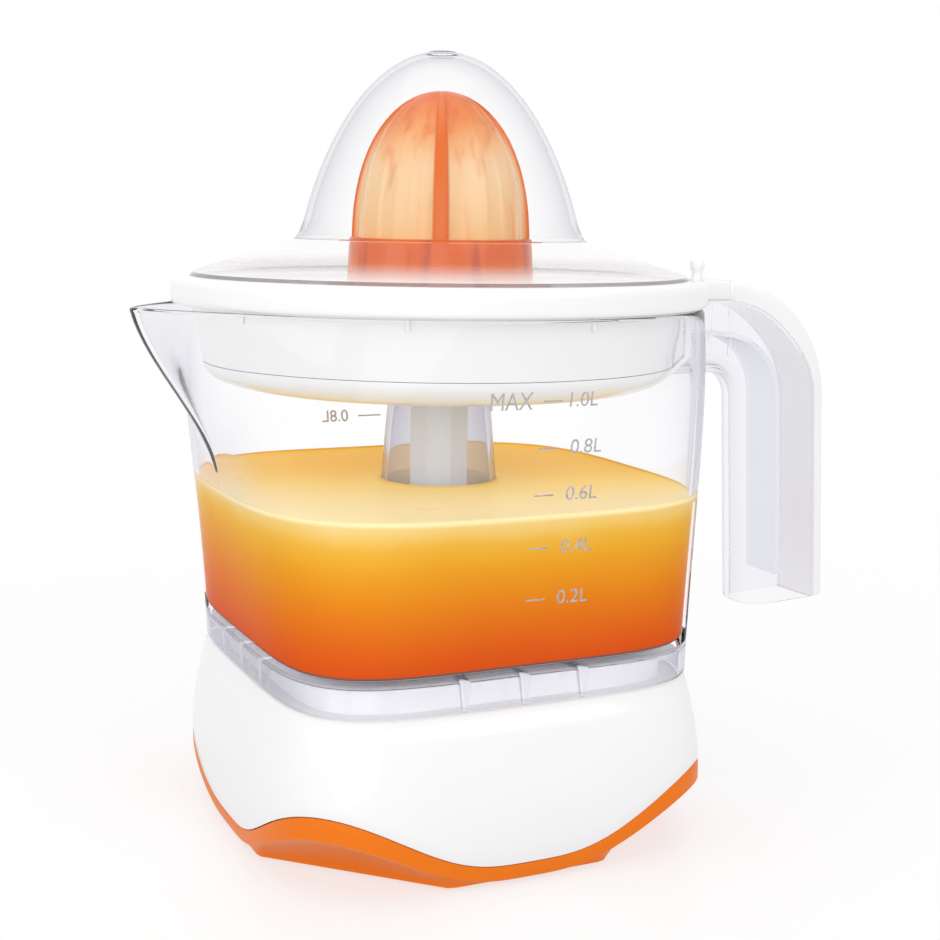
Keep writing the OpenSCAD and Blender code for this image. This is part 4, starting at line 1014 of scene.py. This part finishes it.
start_x = 97.5
rings = []
for x, less in ((start_x, 0.5), (start_x + 0.25, 0.15), (start_x + 0.6, 0)):
    section = [(min(max(rho, cover_in(0) + less), back_r - less), max(-handle_half + less, min(handle_half - less, y)))
               for rho, y in strip(0)]
    rings.append([(x, y, bend_z + rho) for rho, y in section])
for a in turns:
    if a > 4.5:
        rings.append([put(station(a), rho, y) for rho, y in strip(a)])
for f in (0.25, 0.5, 0.75, 0.97):
    rings.append([put(station(90 - lean, grip_len * f), rho, y) for rho, y in strip(90)])
rings.append([put(station(90 - lean, grip_len - 0.3), rho - 0.3, y * 0.985) for rho, y in strip(90)])
rings.append([put(station(90 - lean, grip_len), rho - 1.0, y * 0.94) for rho, y in strip(90)])
cover = skin("cover", rings, closed=False, smooth=50)
placed(smooth_again(cover, 45), "jug", ["handle_cover"], white_gloss)
# Painted light: the cover's inner faces glow faintly, so they stand out of their shade.
cover.data.materials.append(plastic("cover_inside_painted_glow", srgb(246, 248, 252), gloss=0.3,
                                    Emission_Color=srgb(214, 234, 250), Emission_Strength=0.24))
for face in cover.data.polygons:
    x, y, z = face.center / MM
    inwards = face.normal.x < -0.5 if z < bend_z else face.normal.dot(face.center.normalized()) < 0
    if inwards and abs(face.normal.y) < 0.5:
        face.material_index = 1

# %% [markdown]
# ## The juice
# The jug is a little over half full. The juice is deep orange at the bottom and turns to
# amber higher up. Its top is painted: paler at the front and deeper yellow at the back,
# with a faint glow, painted light that lifts it out of the bowl's shade. Its body
# reaches a hair into the wall, because a film of air between juice and plastic would
# mirror the light.

# %% Juice body
into = 0.15


def juice_ring(z, inset=0.0):
    return ring_of(jug_angles, lambda t: jug_r(t, z) - jug_wall + into - inset, z)


rings = []
for k in range(0, 7):
    a = math.radians(15 * k)
    rings.append(jug_ring(floor_z - into + floor_round * (1 - math.cos(a)),
                          jug_wall - into + floor_round * (1 - math.sin(a))))
levels = [mix(floor_z + floor_round + 0.5, juice_z - 0.8, k / 14) for k in range(15)]
rings += [juice_ring(z) for z in levels]
rings += [ring_of(jug_angles, lambda t: jug_r(t, juice_z) - jug_wall + into, juice_z + 0.5),
          ring_of(jug_angles, lambda t: jug_r(t, juice_z) - jug_wall - 0.5, juice_z + 0.12),
          ring_of(jug_angles, lambda t: jug_r(t, juice_z) - jug_wall - 1.5, juice_z)]
for f in (0.8, 0.55, 0.3, 0.1):
    rings.append(ring_of(jug_angles, lambda t, f=f: mix(chimney_r(juice_z), jug_r(t, juice_z) - 4, f), juice_z))
rings.append(ring_of(jug_angles, chimney_r(juice_z) + 0.8, juice_z + 0.1))
rings.append(ring_of(jug_angles, chimney_r(juice_z) - into, juice_z + 0.5))
for f in (0.9, 0.7, 0.5, 0.3, 0.12):
    z = mix(floor_z, juice_z, f)
    rings.append(ring_of(jug_angles, chimney_r(z) - into, z))
rings.append(ring_of(jug_angles, chimney_r(floor_z) + 1.0, floor_z + 0.3))
rings.append(ring_of(jug_angles, chimney_r(floor_z) + 2.6, floor_z - into))
juice = skin("juice", rings, smooth=45)

# %% Juice finish
# The emission strength serves the painted glow on the juice's top, set below.
juice_mat, tree, shader = new_material("juice", IOR=1.34, Specular_IOR_Level=0.03, Emission_Strength=0.36)
place = node(tree, "ShaderNodeTexCoord").outputs["Object"]
parts = node(tree, "ShaderNodeSeparateXYZ")
link(tree, place, parts.inputs[0])
level = parts.outputs["Z"]
cloud = noise(tree, place, 34, 4, 0.6)
swirl = maths(tree, "MULTIPLY", maths(tree, "SUBTRACT", cloud, 0.5), 0.005)
height = spread(tree, maths(tree, "ADD", level, swirl), 0.0595, 0.1023)
wall_colour = ramp(tree, height, [
    (0.0, srgb(218, 78, 26)), (0.2, srgb(226, 100, 30)), (0.44, srgb(232, 130, 30)),
    (0.68, srgb(238, 162, 40)), (0.84, srgb(242, 184, 60)), (0.92, srgb(246, 204, 110)),
    (1.0, srgb(248, 218, 150))], "B_SPLINE")
# Painted shade: a grey-brown band at the juice's foot, for the dark that the jug's thick floor edge refracts.
wall_colour = mixed(tree, spread(tree, level, 0.0608, 0.06, smooth=True), wall_colour, srgb(118, 92, 90))
# Painted light: the juice's underside, seen through the jug's floor, is painted a pale lilac white.
wall_colour = mixed(tree, spread(tree, level, 0.0597, 0.0595), wall_colour, srgb(236, 232, 236))
# Painted light: the top is pale cream at the front and deeper yellow at the back, by this front-to-back mask.
across = node(tree, "ShaderNodeVectorMath", operation="DOT_PRODUCT")
link(tree, place, across.inputs[0])
across.inputs[1].default_value = (0.32, 0.95, 0)
painted_light_front_to_back = spread(tree, across.outputs["Value"], -0.055, 0.05, smooth=True)
top_colour = ramp(tree, painted_light_front_to_back, [
    (0.0, srgb(255, 236, 186)), (0.3, srgb(255, 224, 140)), (0.6, srgb(252, 200, 80)),
    (1.0, srgb(248, 182, 30))], "B_SPLINE")
# Painted light: the flat top glows faintly, to lift it out of the bowl's shade.
painted_top_glow = ramp(tree, painted_light_front_to_back, [
    (0.0, srgb(150, 132, 96)), (0.4, srgb(196, 172, 90)), (1.0, srgb(180, 150, 8))], "B_SPLINE")
is_top = spread(tree, level, 0.1008, 0.1022, smooth=True)
link(tree, mixed(tree, is_top, wall_colour, top_colour), shader.inputs["Base Color"])
flat_top = maths(tree, "MULTIPLY", is_top, spread(tree, level, 0.10255, 0.10235))
link(tree, mixed(tree, flat_top, (0, 0, 0, 1), painted_top_glow), shader.inputs["Emission Color"])
link(tree, spread(tree, cloud, 0, 1, 0.22, 0.38), shader.inputs["Roughness"])
bump(tree, noise(tree, place, 420, 3), shader, 0.04, 0.00003)
placed(smooth_again(juice, 45), "jug", [], juice_mat)

# %% [markdown]
# ## The volume scale
# Ticks and figures stand a few hundredths of a millimetre proud of the wall. The words are
# typed as text, turned into a mesh, and each corner is then carried onto the curved wall
# by its own sideways place and level. The scale at the back is read from the other side,
# so from the front it shows through the jug as in a mirror.

# %% Marks wrapped onto the wall


def wall_y(x, z, side):
    """Where the jug's outer face lies at x and z, on the front (-1) or the back (1)."""
    y = jug_foot_a
    for _ in range(12):
        t = math.degrees(math.atan2(side * y, x))
        y = math.sqrt(max(1.0, jug_r(t, z) ** 2 - x * x))
    return side * y


def wrap(piece, side, proud):
    """Carries a flat piece, drawn in X and Z with its thickness in Y, onto the wall."""
    for corner in piece.data.vertices:
        x, depth, z = (v / MM for v in corner.co)
        corner.co.y = (wall_y(x, z, side) + side * (proud - 0.12 if depth > 0 else 0.02)) * MM
    return piece


def word(body, height, x, z, anchor, mirrored=False, wide=1.02):
    """A word as a thin mesh in the XZ plane, in its place."""
    bpy.ops.object.select_all(action="DESELECT")
    bpy.ops.object.text_add(location=(0, 0, 0))
    made = bpy.context.object
    made.data.body = body
    made.data.align_x, made.data.align_y = anchor, "CENTER"
    made.data.size = height * MM / 0.7
    made.data.extrude = 0.00003
    made.data.resolution_u = 6
    bpy.ops.object.convert(target="MESH")
    made.rotation_euler = (math.radians(90), 0, 0)
    made.scale = (-wide if mirrored else wide, 1, 1)
    made.location = (x * MM, 0, z * MM)
    bpy.ops.object.transform_apply(location=True, rotation=True, scale=True)
    bpy.ops.object.mode_set(mode="EDIT")
    bpy.ops.mesh.select_all(action="SELECT")
    bpy.ops.mesh.remove_doubles(threshold=0.000001)
    bpy.ops.mesh.normals_make_consistent(inside=False)
    bpy.ops.object.mode_set(mode="OBJECT")
    return made


def tick(x0, x1, z):
    """A thin bar that is cut finely enough to follow the wall."""
    made = block((x0, -0.06, z - 0.22), (x1, 0.06, z + 0.22))
    bpy.ops.object.mode_set(mode="EDIT")
    bpy.ops.mesh.select_all(action="SELECT")
    bpy.ops.mesh.subdivide(number_cuts=5)
    bpy.ops.object.mode_set(mode="OBJECT")
    return made


front_marks = [word("MAX", 4.7, -18, 133.9, "LEFT", wide=0.84), tick(-2.8, 2.8, 133.9), word("1.0L", 3.9, 3.8, 133.9, "LEFT")]
for z, label in ((121.2, "0.8L"), (108.4, "0.6L"), (93.8, "0.4L"), (79.3, "0.2L")):
    front_marks += [tick(-2.8, 2.8, z), word(label, 3.9, 6.4, z, "LEFT")]
back_marks = []
for z, label in ((112.8, "0.8L"), (96.6, "0.6L"), (80.5, "0.4L"), (63.5, "0.2L")):
    back_marks += [tick(0, 8.5, z), word(label, 3.9, -3.5, z, "LEFT", mirrored=True)]
front_marks = wrap(joined(front_marks), -1, 0.2)
back_marks = wrap(joined(back_marks), 1, 0.2)
front_marks.name, back_marks.name = "scale_front", "scale_back"
mark_mat, tree, shader = new_material("frosted_mark")
satin = noise(tree, node(tree, "ShaderNodeTexCoord").outputs["Object"], 900, 3)
link(tree, spread(tree, satin, 0, 1, 0.35, 0.6), shader.inputs["Roughness"])
link(tree, ramp(tree, satin, [(0.3, srgb(158, 156, 162)), (0.7, srgb(192, 190, 196))]), shader.inputs["Base Color"])
shader.inputs["Alpha"].default_value = 0.86
let_light_in(tree, shader, WHITE)
for part in (front_marks, back_marks):
    select_only(part)
    placed(part, "jug", [], mark_mat)
    print(part.name, len(part.data.polygons), "faces")

# %% [markdown]
# ## The sieve bowl
# The bowl hangs in the jug by a thick ring, which is rounded the way a hand would want
# it. In its middle a hood stands over the chimney and carries the guide bush. The floor
# is pierced by radial slots. One slot is made with round ends, copied round, and all of
# them are cut in one go.

# %% Shared curves of bowl and cup
cup_z, cup_top = 130.9, 138.4
cup_r, corner_w = 69.5, 16.0
hood_r, hood_top = 15.0, 143.1


def corner(r, low, high, steps=10):
    """The rounded corner between the floor at low and the wall at high."""
    turns = [math.radians(90 * k / steps) for k in range(steps + 1)]
    return [(r - corner_w * (1 - math.sin(a)), mix(high, low, math.cos(a)), 0) for a in turns]


def slots(low, high):
    """Cutters for the radial slots."""
    half, start, end = 1.2, 27.2, 51.3
    outline = ([(start + half * math.cos(math.radians(b)), half * math.sin(math.radians(b)))
                for b in range(90, 271, 18)]
               + [(end + half * math.cos(math.radians(b)), half * math.sin(math.radians(b)))
                  for b in range(-90, 91, 18)])
    first = skin("slot", [[(x, y, z) for x, y in outline] for z in (low, high)], closed=False, smooth=0)
    every = [turn_copy(first, (k + 0.5) * 15) for k in range(24)]
    bpy.data.objects.remove(first)
    return joined(every)


def sector(name, profile, middle, half, steps=10):
    """A profile of (radius, level) swept round the axis by half to each side of middle."""
    rings = []
    for k in range(steps + 1):
        a = math.radians(middle - half + 2 * half * k / steps)
        rings.append([(r * math.cos(a), r * math.sin(a), z) for r, z in profile])
    return skin(name, rings, closed=False, smooth=0)


# %% The bowl
outline = rounded(
    [(20, 132.9, 0.4)] + corner(67.5, 132.9, 138.5)
    + [(cup_r, 138.5, 0.3), (bowl_r, ring_z, 0.5), (ring_r, ring_z, 1.7), (ring_r, ring_top, 3.0),
       (73.6, ring_top, 0.5), (73.6, ring_top - 1.6, 0.2), (70.3, ring_top - 1.6, 0.6)]
    + corner(65.5, 134.9, 140.5)[::-1]
    + [(20, 134.9, 2.0), (hood_r + 2, 138.9, 1.5), (hood_r + 2, hood_top, 1.6), (8.0, hood_top, 0.4),
       (8.0, 134.2, 0.2), (10.2, 134.2, 0.2), (10.2, 141.1, 0.4), (hood_r, 141.1, 0.6),
       (hood_r, 136.9, 1.2)], 6)
bowl = turned("bowl", outline, steps=180)
combine(bowl, slots(131.5, 136.5), "DIFFERENCE")
tab = block((75, -10, ring_z), (96.8, 10, ring_top - 1.6))
bpy.ops.object.mode_set(mode="EDIT")
bpy.ops.mesh.select_all(action="SELECT")
bpy.ops.mesh.bevel(offset=1.1 * MM, segments=4, affect="EDGES")
bpy.ops.object.mode_set(mode="OBJECT")
combine(bowl, tab, "UNION")
for k in range(9):
    a = math.radians(-120 + 40 * k)
    nub = peg(bowl_r * math.cos(a), bowl_r * math.sin(a), ring_z - 3.6, ring_z + 0.5, 0.65, 16)
    combine(bowl, nub, "UNION")
lever_turn, lever_travel = -33.0, 7.5
combine(bowl, sector("slot_arm", [(72.5, 154.2), (75.0, 154.2), (75.0, 157.4), (72.5, 157.4)],
                     lever_turn + lever_travel / 2, lever_travel / 2 + 3.57), "DIFFERENCE")
combine(bowl, sector("slot_knob", [(73.1, 154.2), (77.7, 154.2), (77.7, 164), (73.1, 164)],
                     lever_turn + lever_travel / 2, lever_travel / 2 + 1.75), "DIFFERENCE")
for y0, y1 in ((-1.3, 1.3),):
    combine(bowl, block((-9.45, y0, 131), (9.45, y1, 150)), "DIFFERENCE")
placed(smooth_again(bowl, 38), "sieve", ["sieve_bowl"], white_gloss)

# %% [markdown]
# ## The pulp regulator
# A cup with the same slots sits under the bowl. Turned by half a slot's step it closes
# the slots. Its arm climbs the outside of the bowl, and a small post comes up through the
# ring for the finger.

# %% The cup, its arm and its knob
outline = rounded([(21, cup_z, 0.4)] + corner(cup_r, cup_z, cup_top)
                  + corner(cup_r - 1.7, cup_z + 1.7, cup_top)[::-1] + [(21, cup_z + 1.7, 0.4)], 4)
cup = turned("regulator_cup", outline, steps=144)
combine(cup, slots(129.5, 133.8), "DIFFERENCE")
arm = sector("arm", [(68.6, 135.4), (74.5, 141.2), (74.5, 156.6), (72.8, 156.6), (72.8, 141.4), (69.2, 137.7)],
             lever_turn, 3.15)
combine(cup, arm, "UNION")
a = math.radians(lever_turn)
knob_outline = ([(0.2, 155.8), (1.8, 155.8), (1.8, 163.6), (1.55, 164.2), (1.5, 165.6), (1.8, 166.1), (2.05, 166.5),
                 (2.1, 168.2)] + arc(1.3, 168.2, 0.8, 0, 60, 3)[1:] + [(0.8, 169.3), (0.2, 169.4)])
knob = skin("knob", [[(75.5 * math.cos(a) + x, 75.5 * math.sin(a) + y, z) for x, y, _ in circle(r, 0, 32)]
                     for r, z in knob_outline], closed=False, smooth=0)
combine(cup, knob, "UNION")
placed(smooth_again(cup, 38), "regulator", ["pulp_regulator"], white_gloss)

# %% [markdown]
# ## The large reamer
# The reamer is a pointed dome with six bold ribs, and fainter ones between them, on a
# ledge and a plain skirt. Every ring is a circle whose radius swells at the ribs and
# shrinks in the flutes, and the swell fades out towards the tip.

# %% The ribbed dome
tip_z, ledge_z, skirt_z = 216.6, 173.2, 138.2
reamer_round, skirt_r = 26.3, 28.9
rib_turn = 66.4
reamer_angles = [k * 1.25 - 180 for k in range(288)]


def dome(r, f, full=0.5):
    """Radius of a full dome a share f of its height below the tip."""
    return r * math.sqrt(max(0.0, f)) * (1 + full * (1 - f))


def flute(t):
    """How deep the skin lies under the rib's crest at angle t, in millimetres."""
    u = (t - rib_turn + 45) % 90 - 45
    crest = 1 / (1 + math.exp((abs(u) - 5.2) / 0.5))
    panel = 2.1 - 1.1 * math.sin(math.radians(min(90.0, max(0.0, abs(u) - 6) * 90 / 26))) ** 2
    fine = sum(0.4 * math.exp(-(((abs(u) - place) / 2.0) ** 2)) for place in (17, 31, 45))
    return panel * (1 - crest) - fine * (1 - crest)


def ribbed(f):
    r = dome(reamer_round, f)
    deep = min(1.0, r / 16)
    return ring_of(reamer_angles, lambda t: max(0.15, r - flute(t) * deep), tip_z - (tip_z - ledge_z) * f)


rings = [ring_of(reamer_angles, 0.25, tip_z - 0.06)]
rings += [ribbed(f) for f in (0.004, 0.012, 0.025, 0.045, 0.07, 0.1, 0.14, 0.19, 0.25, 0.32, 0.4, 0.49,
                              0.58, 0.67, 0.76, 0.84, 0.91, 0.96, 0.985)]
rings += [ring_of(reamer_angles, lambda t: reamer_round - flute(t) + 0.1, ledge_z),
          ring_of(reamer_angles, skirt_r - 2.4, ledge_z), ring_of(reamer_angles, skirt_r - 2.1, ledge_z - 0.2),
          ring_of(reamer_angles, skirt_r - 1.95, ledge_z - 0.6), ring_of(reamer_angles, skirt_r - 1.8, ledge_z - 1.6)]
rings += [ring_of(reamer_angles, mix(skirt_r - 1.8, skirt_r, f), mix(ledge_z - 1.6, skirt_z + 0.5, f))
          for f in (0.3, 0.6, 1.0)]
rings += [ring_of(reamer_angles, skirt_r - 0.4, skirt_z), ring_of(reamer_angles, skirt_r - 1.6, skirt_z),
          ring_of(reamer_angles, skirt_r - 2.0, skirt_z + 0.4), ring_of(reamer_angles, skirt_r - 2.6, 157.2),
          ring_of(reamer_angles, skirt_r - 3.1, 157.7), ring_of(reamer_angles, 21.9, 157.7),
          ring_of(reamer_angles, 21.5, 158.1)]
rings += [ring_of(reamer_angles, dome(21.5, f), 212.6 - (212.6 - ledge_z) * f)
          for f in (1.0, 0.86, 0.72, 0.58, 0.44, 0.3, 0.18, 0.09, 0.03, 0.005)]
reamer = skin("reamer_large", rings, closed=False, smooth=50)

# %% Orange, half-clear plastic
reamer_mat, tree, shader = new_material("orange_half_clear", IOR=1.45, Specular_IOR_Level=0.3)
place = node(tree, "ShaderNodeTexCoord").outputs["Object"]
parts = node(tree, "ShaderNodeSeparateXYZ")
link(tree, place, parts.inputs[0])
angle = maths(tree, "ARCTAN2", parts.outputs["Y"], parts.outputs["X"])
rib_phase = maths(tree, "COSINE", maths(tree, "MULTIPLY", maths(tree, "SUBTRACT", angle, math.radians(rib_turn)), 4), 0)
rib_mask = spread(tree, rib_phase, 0.915, 0.955, smooth=True)
stretch = node(tree, "ShaderNodeMapping")
stretch.inputs["Scale"].default_value = (1, 1, 0.05)
link(tree, place, stretch.inputs["Vector"])
streak = noise(tree, stretch.outputs[0], 190, 3, 0.6)
patch = noise(tree, place, 45, 2)
level = parts.outputs["Z"]
drift = maths(tree, "MULTIPLY", maths(tree, "SUBTRACT", patch, 0.5), 0.012)
# Painted highlight: the panels between the ribs are painted pale cream, palest about halfway up; towards the tip and on
# the ribs the plastic keeps its orange.
panel = ramp(tree, spread(tree, maths(tree, "ADD", level, drift), 0.1732, 0.2166), [
    (0.0, srgb(254, 200, 140)), (0.25, srgb(255, 218, 168)), (0.45, srgb(255, 224, 184)),
    (0.62, srgb(255, 202, 150)), (0.8, srgb(244, 142, 70)), (1.0, srgb(232, 98, 0))], "B_SPLINE")
panel = tinted(tree, panel, ramp(tree, streak, [
    (0.3, srgb(246, 214, 192)), (0.5, srgb(255, 250, 242)), (0.72, WHITE)]))
ribs_on = mixed(tree, rib_mask, panel, srgb(238, 118, 46))
# Painted light: the skirt is painted paler towards its foot, for the white of the lid's brim in front of it.
skirt_colour = ramp(tree, spread(tree, level, 0.152, 0.1734), [
    (0.0, srgb(250, 214, 196)), (0.2, srgb(246, 186, 150)), (0.4, srgb(240, 146, 80)),
    (0.66, srgb(236, 108, 12)), (1.0, srgb(234, 100, 0))], "B_SPLINE")
skirt_colour = tinted(tree, skirt_colour, ramp(tree, streak, [
    (0.34, srgb(226, 196, 176)), (0.5, srgb(255, 246, 238)), (0.66, WHITE)]))
is_dome = spread(tree, level, 0.1729, 0.1735)
link(tree, mixed(tree, is_dome, skirt_colour, ribs_on), shader.inputs["Base Color"])
shader.inputs["Transmission Weight"].default_value = 0.16
link(tree, spread(tree, patch, 0, 1, 0.14, 0.28), shader.inputs["Roughness"])
bump(tree, streak, shader, 0.2, 0.00012)
placed(smooth_again(reamer, 45), "large_reamer", ["large_reamer"], reamer_mat)

# %% [markdown]
# ## The lid
# A clear dome on a shallow cone. The cone is satin, and towards its rim it is a painted
# white veil, a painted reflection, so the parts below it fade into white. A little round
# mark at the top is what the moulding gate leaves.

# %% The lid's skin
apex_z, foot_z, dome_r, brim_r = 227.9, 174.6, 41.5, 73.2


def lid_dome(less):
    """Points down the dome, set in by less."""
    shares = [(k / 22) ** 1.7 for k in range(2, 22)]
    return [(dome(dome_r, f, 0.19) - less * (0.4 + 0.6 * f ** 0.3), apex_z - (apex_z - foot_z) * f
             - less * 0.75 * (1 - f) ** 4, 0) for f in shares]


outer = [(0.2, apex_z - 0.15, 0), (1.3, apex_z - 0.18, 0.2), (1.6, apex_z - 0.5, 0.2), (3.2, apex_z - 0.55, 0.2),
         (3.6, apex_z - 0.12, 0.3)]
outer += lid_dome(0)[1:]
outer += [(dome_r + 0.9, foot_z - 0.9, 3.5), (brim_r - 1.5, 164.5, 1.4), (brim_r, 163.4, 0.5), (brim_r, 161.8, 0.4),
          (brim_r - 2.4, 161.8, 0.4)]
inner = [(dome_r + 1.4, foot_z - 3.2, 2.5)] + lid_dome(1.8)[::-1] + [(0.2, apex_z - 1.9, 0)]
flat = rounded([(0.1, apex_z - 3, 0)] + outer + inner, 6)[1:]
lid = turned("lid_shell", flat, steps=160, closed=False, smooth=50)

# %% Its cone is satin with a painted white veil, and its edge painted shade
lid_mat = clear("lid_plastic", [(0.2, WHITE), (0.41, srgb(250, 250, 251)), (0.62, srgb(240, 240, 243)),
                                (0.8, srgb(224, 224, 230)), (1.0, srgb(150, 150, 160))], ior=1.12)
cone_mat, tree, shader = new_material("lid_satin_painted_veil", roughness=0.3)
place = node(tree, "ShaderNodeTexCoord").outputs["Object"]
flat_place = node(tree, "ShaderNodeVectorMath", operation="MULTIPLY")
link(tree, place, flat_place.inputs[0])
flat_place.inputs[1].default_value = (1, 1, 0)
out_way = node(tree, "ShaderNodeVectorMath", operation="LENGTH")
link(tree, flat_place.outputs[0], out_way.inputs[0])
# Painted reflection: towards its rim the cone turns white and less see-through, so the parts below fade into white.
painted_white_veil = spread(tree, out_way.outputs["Value"], 0.058, 0.0725, 0.03, 0.5, smooth=True)
link(tree, painted_white_veil, shader.inputs["Alpha"])
link(tree, ramp(tree, noise(tree, place, 300, 3), [(0.3, srgb(247, 247, 249)), (0.7, srgb(250, 250, 252))]),
     shader.inputs["Base Color"])
let_light_in(tree, shader, WHITE)
# Painted shade: the rim's outer edge is coloured dark grey, for the dark that the clear rim refracts.
rim_mat = clear("lid_rim_painted_shade", [(0.0, srgb(150, 150, 158)), (1.0, srgb(96, 96, 106))], gloss=0.08)
placed(smooth_again(lid, 45), "lid", ["lid"], lid_mat)
lid.data.materials.append(cone_mat)
lid.data.materials.append(rim_mat)
for face in lid.data.polygons:
    middle = face.center / MM
    out = math.hypot(middle.x, middle.y)
    if middle.z < foot_z - 1.0:
        face.material_index = 2 if out > brim_r - 0.9 and 162.6 < middle.z < 164.1 else 1
print("lid:", len(lid.data.polygons), "faces in three finishes")

# %% [markdown]
# ## The parts inside
# The drive, the motor, the gears and the switch keep the shapes they came with. They are
# finished as what they are: turned and stamped steel, bronze bushes, nylon gears, enamelled
# copper wire, a ferrite magnet. Brushed steel is a noise stretched along one direction.

# %% Metals


def metal(name, colour, roughness, change, along=(1, 1, 0.04), scale=700, **plain):
    """A metal with fine marks that run one way."""
    made, tree, shader = new_material(name, Metallic=1.0, **plain)
    stretch = node(tree, "ShaderNodeMapping")
    stretch.inputs["Scale"].default_value = along
    link(tree, node(tree, "ShaderNodeTexCoord").outputs["Object"], stretch.inputs["Vector"])
    marks = noise(tree, stretch.outputs[0], scale, 4, 0.65)
    gloss = node(tree, "ShaderNodeMapRange")
    link(tree, marks, gloss.inputs["Value"])
    gloss.inputs["To Min"].default_value = roughness - change
    gloss.inputs["To Max"].default_value = roughness + change
    link(tree, gloss.outputs[0], shader.inputs["Roughness"])
    dark = tuple(c * 0.82 for c in colour[:3]) + (1,)
    link(tree, ramp(tree, marks, [(0.3, dark), (0.7, colour)]), shader.inputs["Base Color"])
    bump(tree, marks, shader, 0.15, 0.00002)
    return made


steel = metal("steel", srgb(206, 208, 212), 0.26, 0.12)
zinc = metal("zinc_steel", srgb(190, 194, 200), 0.38, 0.14, along=(1, 1, 1), scale=350)
dark_steel = metal("dark_steel", srgb(120, 122, 128), 0.4, 0.12)
spring_steel = metal("spring_steel", srgb(170, 172, 178), 0.3, 0.1, along=(1, 1, 1))
bronze = metal("bronze", srgb(186, 142, 84), 0.42, 0.12, along=(1, 1, 1), scale=1200)

# %% Winding, magnet, and the clear small reamer
wire, tree, shader = new_material("copper_wire", Metallic=1.0)
turns = node(tree, "ShaderNodeTexWave", wave_type="BANDS", bands_direction="Z", wave_profile="SIN")
turns.inputs["Scale"].default_value = 700
turns.inputs["Distortion"].default_value = 0.6
link(tree, node(tree, "ShaderNodeTexCoord").outputs["Object"], turns.inputs["Vector"])
link(tree, ramp(tree, turns.outputs["Fac"], [(0.0, srgb(110, 52, 26)), (0.6, srgb(204, 118, 66))]), shader.inputs["Base Color"])
wire_gloss = node(tree, "ShaderNodeMapRange")
link(tree, turns.outputs["Fac"], wire_gloss.inputs["Value"])
wire_gloss.inputs["To Min"].default_value = 0.5
wire_gloss.inputs["To Max"].default_value = 0.28
link(tree, wire_gloss.outputs[0], shader.inputs["Roughness"])
bump(tree, turns.outputs["Fac"], shader, 0.5, 0.0001)

ferrite, tree, shader = new_material("ferrite")
speck = noise(tree, node(tree, "ShaderNodeTexCoord").outputs["Object"], 1500, 5, 0.8)
link(tree, ramp(tree, speck, [(0.35, srgb(38, 38, 42)), (0.7, srgb(74, 74, 80))]), shader.inputs["Base Color"])
ferrite_gloss = node(tree, "ShaderNodeMapRange")
link(tree, speck, ferrite_gloss.inputs["Value"])
ferrite_gloss.inputs["To Min"].default_value = 0.45
ferrite_gloss.inputs["To Max"].default_value = 0.7
link(tree, ferrite_gloss.outputs[0], shader.inputs["Roughness"])

small_mat = plastic("orange_core", srgb(238, 130, 74), gloss=0.2)

# %% Every carried-over part gets its finish
FINISH = {"white_plastic": white_gloss, "orange_plastic": orange_gloss, "rubber": rubber,
          "white_rubber": white_rubber, "steel": steel, "zinc_steel": zinc, "dark_steel": dark_steel,
          "spring_steel": spring_steel, "natural_nylon": nylon, "copper_wire": wire, "bronze": bronze,
          "ferrite": ferrite, "grey_plastic": pale_plastic, "pale_grey_plastic": shaft_plastic,
          "black_plastic": black_plastic, "red_plastic": red_plastic, "clear_plastic": jug_clear,
          "frosted_plastic": pale_plastic, "orange_clear_plastic": small_mat, "lid_plastic": lid_mat}
slots_of = {part["node"]: part["material_slot"] for part in frame["record"]["subparts"]}
for name, part in frame["nodes"].items():
    for slot_place in part.material_slots:
        slot_place.material = FINISH[slots_of[name]]
print(len(frame["nodes"]), "parts finished;", sorted(set(slots_of.values())))

# %% The return spring, as its own piece on the output body
spring = bpy.data.objects.new("return_coil", frame["nodes"]["return_spring"].data.copy())
bpy.context.scene.collection.objects.link(spring)
select_only(spring)
bpy.ops.object.mode_set(mode="EDIT")
bpy.ops.mesh.select_all(action="SELECT")
bpy.ops.mesh.remove_doubles(threshold=0.000001)
bpy.ops.object.mode_set(mode="OBJECT")
placed(spring, "output", ["return_spring"], spring_steel)
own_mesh(spring)
